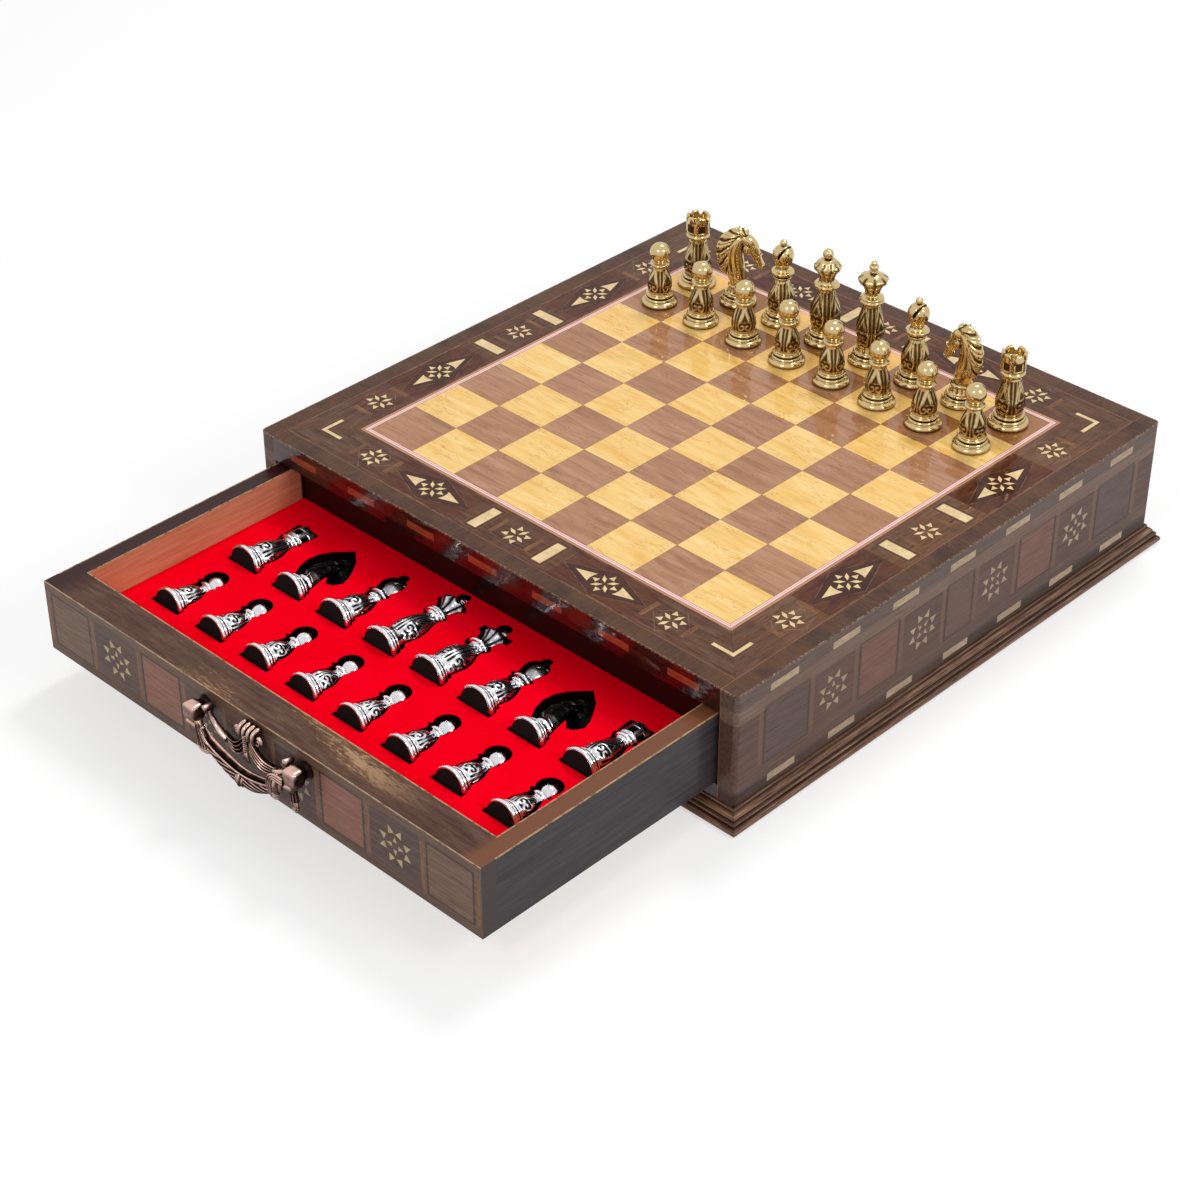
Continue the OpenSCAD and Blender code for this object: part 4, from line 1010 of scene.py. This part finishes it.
GOLD_MESHES = {kind: s.mesh(f"gold_{kind}_mesh", GOLD) for kind, s in SCULPTS.items()}
# Above these heights the silver loses polish: painted shade on the parts that lie deep in the
# recesses
HEAD_SHADE = {"knight": (13, 0.8), "pawn": (20, 0.3), "rook": (24, 0.4), "bishop": (23, 0.5),
             "queen": (28, 0.45), "king": (31, 0.4)}
SILVER_MESHES = {kind: s.mesh(f"silver_{kind}_mesh", SILVER, shade_above=HEAD_SHADE[kind])
                 for kind, s in SCULPTS.items()}

GOLD_PAWNS = [f"pawn_{letter}" for letter in "abcdefgh"]
GOLD_OFFICERS = ["rook_a", "knight_b", "bishop_c", "queen", "king", "bishop_f", "knight_g",
                 "rook_h"]
KNIGHT_TURNS = {"knight_b": 38, "knight_g": 172}
for rank, row in ((2.5, GOLD_PAWNS), (3.5, GOLD_OFFICERS)):
    for file, name in enumerate(row):
        kind = name.split("_")[0]
        node = f"gold_{name}"
        turn = 23 * file if kind == "pawn" else KNIGHT_TURNS.get(name, 0)
        place(GOLD_MESHES[kind], f"brass_{name}", node,
              moved((file - 3.5) * SQUARE, rank * SQUARE, CASE_TOP) @ turned(turn, "Z"), node)

MAN_PITCH = (2 * WELL_HALF - 2 * ROW_END_MARGIN) / 8
OFFICER_LINE = WELL_BACK - KING_MARGIN - CHESSMEN["king"][1]
PAWN_LINE = OFFICER_LINE - ROW_GAP - CHESSMEN["pawn"][1]
SILVER_OFFICERS = ["rook", "knight", "bishop", "king", "queen", "bishop", "knight", "rook"]
for line, row in ((PAWN_LINE, ["pawn"] * 8), (OFFICER_LINE, SILVER_OFFICERS)):
    for i, kind in enumerate(row):
        tilt, height = rest(kind)
        single = kind in ("king", "queen")
        node = f"silver_{kind}" if single else f"silver_{kind}s"
        name = f"chrome_{kind}" if single else f"chrome_{kind}_{i + 1}"
        matrix = (moved((i - 3.5) * MAN_PITCH, line, INSERT_TOP - RECESS_DEPTH + height)
                  @ turned(-90 - tilt, "X"))
        # Knights and bishops keep the side that the photo shows; the others turn freely
        if kind not in ("knight", "bishop"):
            matrix = matrix @ turned(17 * i, "Z")
        place(SILVER_MESHES[kind], name, node, matrix, node)


# ---------- drawer pulls: X along the face, -Y out of it, Z up from the posts' middle ----------

POST_Z = DRAWER_TOP - POST_DROP


def post(s, side):
    """Rounded block that stands on a short neck, with a nub at its upper inner corner."""
    curve = spline([(4.3, 0), (4.5, 0.5), (3.8, 1.2), (3.1, 2.2), (3.2, 3.2), (3.8, 4.2),
                    (4.2, 5.2), (4.3, 6.6), (4.3, 8.4), (4.15, 9.4), (3.6, 10.0), (2.2, 10.25),
                    (0.05, 10.3)], 5)
    radius, out = curve[:, :1], curve[:, 1:]
    turn = np.arange(64) * TAU / 64
    power = 4.5
    square = (np.abs(np.cos(turn)) ** power + np.abs(np.sin(turn)) ** power) ** (-1 / power)
    radius = radius * (1 + (square - 1) * smooth(out, 0.8, 4))
    rows = np.stack([side * POST_X + radius * 0.95 * np.cos(turn), 0 * radius - out,
                     0.5 + radius * np.sin(turn)], -1)
    # Relief is low on the neck next to the face: painted shade where the block meets the drawer
    # face
    s.grid(rows, 0.15 + 0.85 * smooth(out, 2.5, 5.5) + 0 * radius)
    nub = side * (POST_X - 6.2)
    s.tube([(nub, -1.8, 4), (nub, -2.2, 4), (nub, -6.2, 4), (nub, -6.8, 4)],
           [1.2, 1.7, 1.8, 1.1], 20, flat=(0, 0, 1))
    s.tube([(side * (ARM_X + 2.4), *PIVOT), (side * (ARM_X + 3.0), *PIVOT),
            (side * (POST_X + 1), -PIVOT_OUT, 0.6 - PIVOT_DROP), (side * (POST_X + 2), -7.5, 0)],
           [1.5, 2.0, 2.2, 1.4], 20)


def fluted_cloth(s, rows, thick, flutes, hem=0):
    """Hanging cloth. rows are (x, y, z of the middle, half width) from top to hem."""
    line = spline(rows, 8)
    centres, halves = line[:, :3], line[:, 3:]
    turn = np.arange(72)[None] * TAU / 72
    across = np.cos(turn)
    open_share = smooth(np.linspace(0, 1, len(line))[:, None], 0.04, 0.3)
    fold_depth = open_share * (0.5 - 0.5 * np.cos(flutes * TAU * (across + 1) / 2))
    depth = -thick * (1 - 0.5 * fold_depth) * np.sign(np.sin(turn)) * np.abs(np.sin(turn)) ** 0.6
    sag = -hem * open_share * (1 - across ** 2)
    s.grid(centres[:, None] + np.stack([halves * across, depth, sag], -1),
           1 - smooth(fold_depth, 0.2, 0.65))


def drapes(s, side):
    """Smooth sleeve from the nub, whose cloth spreads in curved flutes up to the middle knot."""
    sleeve = [(25.6, -3.6, 2.6), (24.8, -3.4, -0.8), (22.4, -3.3, -4.0), (19, -3.5, -6.0),
              (15, -3.8, -7.4)]
    s.rope([(side * x, y, z) for x, y, z in sleeve],
           [(1.0, 1.0), (1.4, 1.4), (1.7, 1.6), (1.9, 1.8), (1.2, 1.2)], 6, 20)
    flutes, across, back = 4, 70, 12
    share = np.concatenate([np.linspace(0, 1, across), np.linspace(1, 0, back + 2)[1:-1]])[None]
    front = (np.arange(across + back) < across)[None]
    # Stations from the sleeve to the knot: x, distance out of the face, top and bottom
    lines = spline([(18.0, 3.6, -5.0, -8.2), (14.0, 4.2, -5.4, -9.9), (10.0, 4.9, -4.6, -11.2),
                    (6.5, 5.3, -2.2, -9.8), (3.4, 5.4, 1.0, -6.0), (1.2, 4.8, 2.8, -2.2)], 10)
    x, out, top, bottom = np.split(lines, 4, 1)
    ridge = 0.5 - 0.5 * np.cos(TAU * flutes * share)
    open_share = smooth(x, 17.5, 13.5)
    depth = np.where(front, out - 1.5 * (1 - ridge) * open_share, out - 2.2)
    points = np.stack([side * (x - 1.2 * share * smooth(x, 14, 6)), -depth,
                       top + (bottom - top) * share], -1)
    relief = np.where(front, 1 - open_share * (1 - smooth(ridge, 0.4, 0.9)), 1)
    s.grid(points[:, ::-side], relief[:, ::-side])


def middle_knot(s):
    """Four rounded ribs between two volutes, with a twisted cord and a fringe below."""
    for x in (-4.0, -1.2, 1.6, 4.4):
        s.rope([(x, -1.8, 1.2), (x, -4.6, 1.6), (x, -5.2, 3.6), (x, -4.6, 5.9), (x, -2.2, 6.8),
                (x, -0.9, 6.0)], 1.12, 5, 14, (1, 0, 0))
    turn = np.linspace(0, 2.6 * math.pi, 40)
    for middle, size, way in ((-6.6, 1.7, -1), (6.2, 2.3, 1)):
        reach = size * (1 - 0.26 * turn / math.pi)
        s.tube(np.stack([middle + way * reach * np.cos(turn), -3.6 - 0.25 * turn / math.pi,
                         2.6 + reach * np.sin(turn)], -1), np.linspace(0.95, 0.55, 40), 12)
    for z in 3.4 - 0.95 * np.arange(9):
        s.tube([(0.9, -5.6, z + 0.5), (0, -6.4, z), (-0.9, -5.6, z - 0.5)], [0.3, 0.62, 0.3])
    for spread in (-1, -0.5, 0, 0.5, 1):
        s.rope([(0.3 * spread, -5.6, -4.6), (0.9 * spread, -5.9, -7.0),
                (2.0 * spread, -5.6, 0.5 * abs(spread) - 10.2)],
               [(0.45, 0.45), (0.6, 0.55), (0.3, 0.3)], 5)


def tassel(s):
    """Tassel under the right-hand post: three flutes, then a narrow looped end."""
    x = POST_X - 0.6
    fluted_cloth(s, [(x, -7.0, -4.0, 1.2), (x, -7.1, -6.2, 1.8), (x, -7.2, -8.8, 2.3),
                     (x + 0.2, -7.2, -11.4, 2.6)], 1.5, 3, 0.5)
    turn = np.linspace(0, TAU, 33)
    for size in (1.0, 0.5):
        s.tube(np.stack([x + 0.4 + size * 1.9 * np.cos(turn), np.full(33, -7.2),
                         size * 2.8 * np.sin(turn) - 14.6], -1), 0.55)
    s.tube([(x, -7.0, -10.6), (x + 0.4, -7.1, -16.6)], [(1.4, 0.7), (1.0, 0.5)], 14)


def pull_mount():
    s = Sculpt()
    for side in (-1, 1):
        post(s, side)
        drapes(s, side)
    middle_knot(s)
    tassel(s)
    return s


def bail_band(s):
    """Band of the bail: a smooth cove along its top, and veined leaves down its front."""
    # Round the band from its top back edge: distance out, height, and share of the leaf's height
    section = spline([(-3.8, 0.9, 0), (-3.2, 0.75, 0), (-2.0, 0.05, 0), (-0.9, 0, 0),
                      (-0.2, 0.4, 0), (0.3, 0.2, 0), (0.25, -0.4, 0), (0.1, -0.4, 0.1),
                      (0.5, 0, 0.35), (0.4, 0, 0.6), (-0.3, 0, 0.86), (-1.4, 0, 1),
                      (-2.8, 0, 0.92), (-3.7, 0, 0.6), (-4.0, 0, 0.2), (-4.1, 0.5, 0),
                      (-3.8, 0.9, 0)], 8)[:-1]
    # From a pivot to the middle: x, height of the front edge, leaf height, depth
    half = [(25, -4.0, 2.2, 0.7), (23.2, -6.2, 2.9, 0.8), (20.5, -8.4, 4.0, 0.9),
            (17, -10.1, 5.2, 1), (13, -11.4, 6.2, 1), (9, -12.4, 7.0, 1), (4.5, -13.2, 7.4, 1),
            (0, -13.5, 7.2, 1)]
    stations = spline([(-x, *sizes) for x, *sizes in half] + half[-2::-1], 10)
    x, z, tall, deep = np.split(stations, 4, 1)
    out, up, share = section.T[:, None]
    # The section has eight columns for each of its points
    column = np.arange(len(section))[None]
    leaf = ((column > 48) & (column < 90)) * smooth(share, 0.02, 0.12) * smooth(share, 1, 0.9)
    vein = 0.5 - 0.5 * np.cos(TAU * (share * tall / 1.9 - 0.14 * np.abs(x)))
    leaf = leaf * smooth(tall, 2.8, 4.2)
    # The cove along the top is painted darker: a painted reflection of the shaded drawer face
    # behind it
    cove = smooth(column, 7, 12) * smooth(column, 30, 26)
    depth = PIVOT_OUT + 1.9 * deep + deep * out - 0.6 * leaf * (1 - vein)
    points = np.stack([x + 0 * out, -depth, z + up - tall * share], -1)
    s.grid(points, (1 - leaf * (1 - smooth(vein, 0.35, 0.9))) * (1 - 0.6 * cove))


def pull_bail():
    """Bail with its band, a bud, a fluted cloth at the left end and wound cloth at the right."""
    s = Sculpt()
    bail_band(s)
    s.ball((0, -PIVOT_OUT - 2.0, -16.9), (1.3, 1.5, 3.4), 20, 14)
    for side in (-1, 1):
        s.ball((side * 1.8, -PIVOT_OUT - 1.7, -17.2), (0.9, 1.2, 2.6), 18, 12)
        s.ball((side * ARM_X, *PIVOT), 1.4, 20, 14)
        s.tube([(side * ARM_X, *PIVOT), (side * (ARM_X + 5.6), *PIVOT)], 1.15, 16)
    s.ball((22.4, -PIVOT_OUT - 0.2, -7.4), (3.6, 1.7, 5.6), 20, 14)
    under = [(18.6, -11.4), (20.4, -13.2), (23.0, -13.6), (25.6, -12.4)]
    for offset in (0, 1.35, 2.7):
        arch = [(18.4 + offset, -12.6 - 0.2 * offset), (18.0 + offset, -8.6),
                (18.7 + offset, -4.8), (21.0 + 0.6 * offset, -2.2 - 0.5 * offset),
                (24.2, -1.2 - 0.85 * offset), (28.6, -1.2 - 0.85 * offset)]
        s.rope([(x, -PIVOT_OUT - 1.6 - 0.1 * offset, z) for x, z in arch], 0.62, 6)
        s.rope([(x, -PIVOT_OUT - 1.7, z + 0.7 * offset) for x, z in under],
               [(0.3, 0.3), (0.55, 0.55), (0.55, 0.55), (0.15, 0.15)], 5)
    s.rope([(23.6, -PIVOT_OUT - 1.2, -3.9), (23.4, -PIVOT_OUT - 1.7, -7.0),
            (23.3, -PIVOT_OUT - 1.3, -10.4)], 1.45, 6, 16)
    cloth_y = 0.1 - PIVOT_OUT
    fluted_cloth(s, [(-27.4, cloth_y - 0.2, -0.6, 1.2), (-26.4, cloth_y - 0.4, -3.2, 2.0),
                     (-25.1, cloth_y - 0.6, -7.6, 3.1), (-23.7, cloth_y - 0.8, -12.0, 3.9)],
                 1.8, 5, 0.9)
    edge = np.linspace(-1, 1, 15)
    for k in range(3):
        s.tube(np.stack([-23.6 + (4.0 + 0.1 * k) * edge, cloth_y - 1.7 + 0.7 * edge ** 2,
                         -11.9 - 0.95 * k - 0.9 * (1 - edge ** 2)], -1), 0.52)
    return s


# What faces this way, up and out of the drawer's face, is painted brighter: rubbed wear together
# with a painted highlight
LIT_AND_RUBBED_FACING = (0, -0.55, 0.83)
MOUNT = pull_mount().mesh("pull_mount_mesh", COPPER, POST_Z, rubbed_and_lit=LIT_AND_RUBBED_FACING)
HANDLE = pull_bail().mesh("pull_handle_mesh", COPPER, POST_Z, rubbed_and_lit=LIT_AND_RUBBED_FACING)
for drawer, matrix in (("front", moved(PULL_X, FRONT_FACE_Y, 0)),
                       ("rear", moved(-PULL_X, REAR_FACE_Y, 0) @ turned(180, "Z"))):
    place(MOUNT, f"{drawer}_mount", f"{drawer}_drawer", matrix,
          f"{drawer}_pull_posts")
    place(HANDLE, f"{drawer}_handle", f"{drawer}_bail", matrix,
          f"{drawer}_pull_bail")


# ---------- floor, light and camera ----------

def grey_shader(tree, kind, grey, **inputs):
    """The output of a new shader node whose colour is grey."""
    node = tree.nodes.new("ShaderNode" + kind)
    node.inputs["Color"].default_value = (grey, grey, grey, 1)
    for name, value in inputs.items():
        node.inputs[name].default_value = value
    return node.outputs[0]


def two_faced(tree, output, lighting, seen):
    """Shows seen to camera rays, mirror rays and rays through glass, and lights with lighting."""
    path = tree.nodes.new("ShaderNodeLightPath")
    total = path.outputs["Is Camera Ray"]
    for kind in ("Is Glossy Ray", "Is Transmission Ray"):
        either = tree.nodes.new("ShaderNodeMath")
        either.operation = "MAXIMUM"
        tree.links.new(total, either.inputs[0])
        tree.links.new(path.outputs[kind], either.inputs[1])
        total = either.outputs[0]
    choice = tree.nodes.new("ShaderNodeMixShader")
    for socket, source in zip(choice.inputs, (total, lighting, seen)):
        tree.links.new(source, socket)
    tree.links.new(choice.outputs[0], tree.nodes.new("ShaderNodeOutput" + output).inputs[0])


def empty_tree(owner):
    owner.use_nodes = True
    owner.node_tree.nodes.clear()
    return owner.node_tree


def studio():
    """A white floor that keeps the object's shadow, an even white world and three soft lamps."""
    bpy.ops.mesh.primitive_plane_add(size=30, location=(0, 0, 0))
    floor = bpy.context.object
    floor.name = "studio_floor"
    material = bpy.data.materials.new("studio_floor")
    floor.data.materials.append(material)
    tree = empty_tree(material)
    both = tree.nodes.new("ShaderNodeAddShader")
    tree.links.new(grey_shader(tree, "BsdfDiffuse", 0.42), both.inputs[0])
    tree.links.new(grey_shader(tree, "Emission", 0.6), both.inputs[1])
    two_faced(tree, "Material", grey_shader(tree, "BsdfDiffuse", 0.86), both.outputs[0])

    world = bpy.data.worlds.new("studio")
    bpy.context.scene.world = world
    tree = empty_tree(world)
    two_faced(tree, "World", grey_shader(tree, "Background", 1, Strength=0.45),
              grey_shader(tree, "Background", 1, Strength=1.0))

    for name, spot, power in (("key", (-0.3, 0.95, 1.9), 17), ("front", (0.3, -1.4, 1.3), 6.5),
                              ("right", (1.4, 0.1, 1.1), 8)):
        light = bpy.data.objects.new(name, bpy.data.lights.new(name, "AREA"))
        light.data.size = 0.5
        light.data.energy = power
        light.location = spot
        light.rotation_euler = (-Vector(spot)).to_track_quat("-Z", "Y").to_euler()
        bpy.context.scene.collection.objects.link(light)


def camera():
    """The photograph's view. Its frame is a square, set a little to the right of the lens axis."""
    eye = bpy.data.objects.new("camera", bpy.data.cameras.new("camera"))
    eye.data.lens = 81.06
    eye.data.sensor_width = 36
    eye.data.shift_x = 0.0195
    forward = Vector((-0.573538, 0.582193, -0.576285))
    right = Vector((0.714497, 0.699626, -0.004293))
    up = right.cross(forward)
    eye.matrix_world = Matrix((right, up, -forward)).transposed().to_4x4()
    eye.location = (0.7183, -0.8200, 0.7358)
    bpy.context.scene.collection.objects.link(eye)
    bpy.context.scene.camera = eye


studio()
camera()
bpy.context.scene.view_settings.view_transform = "Standard"
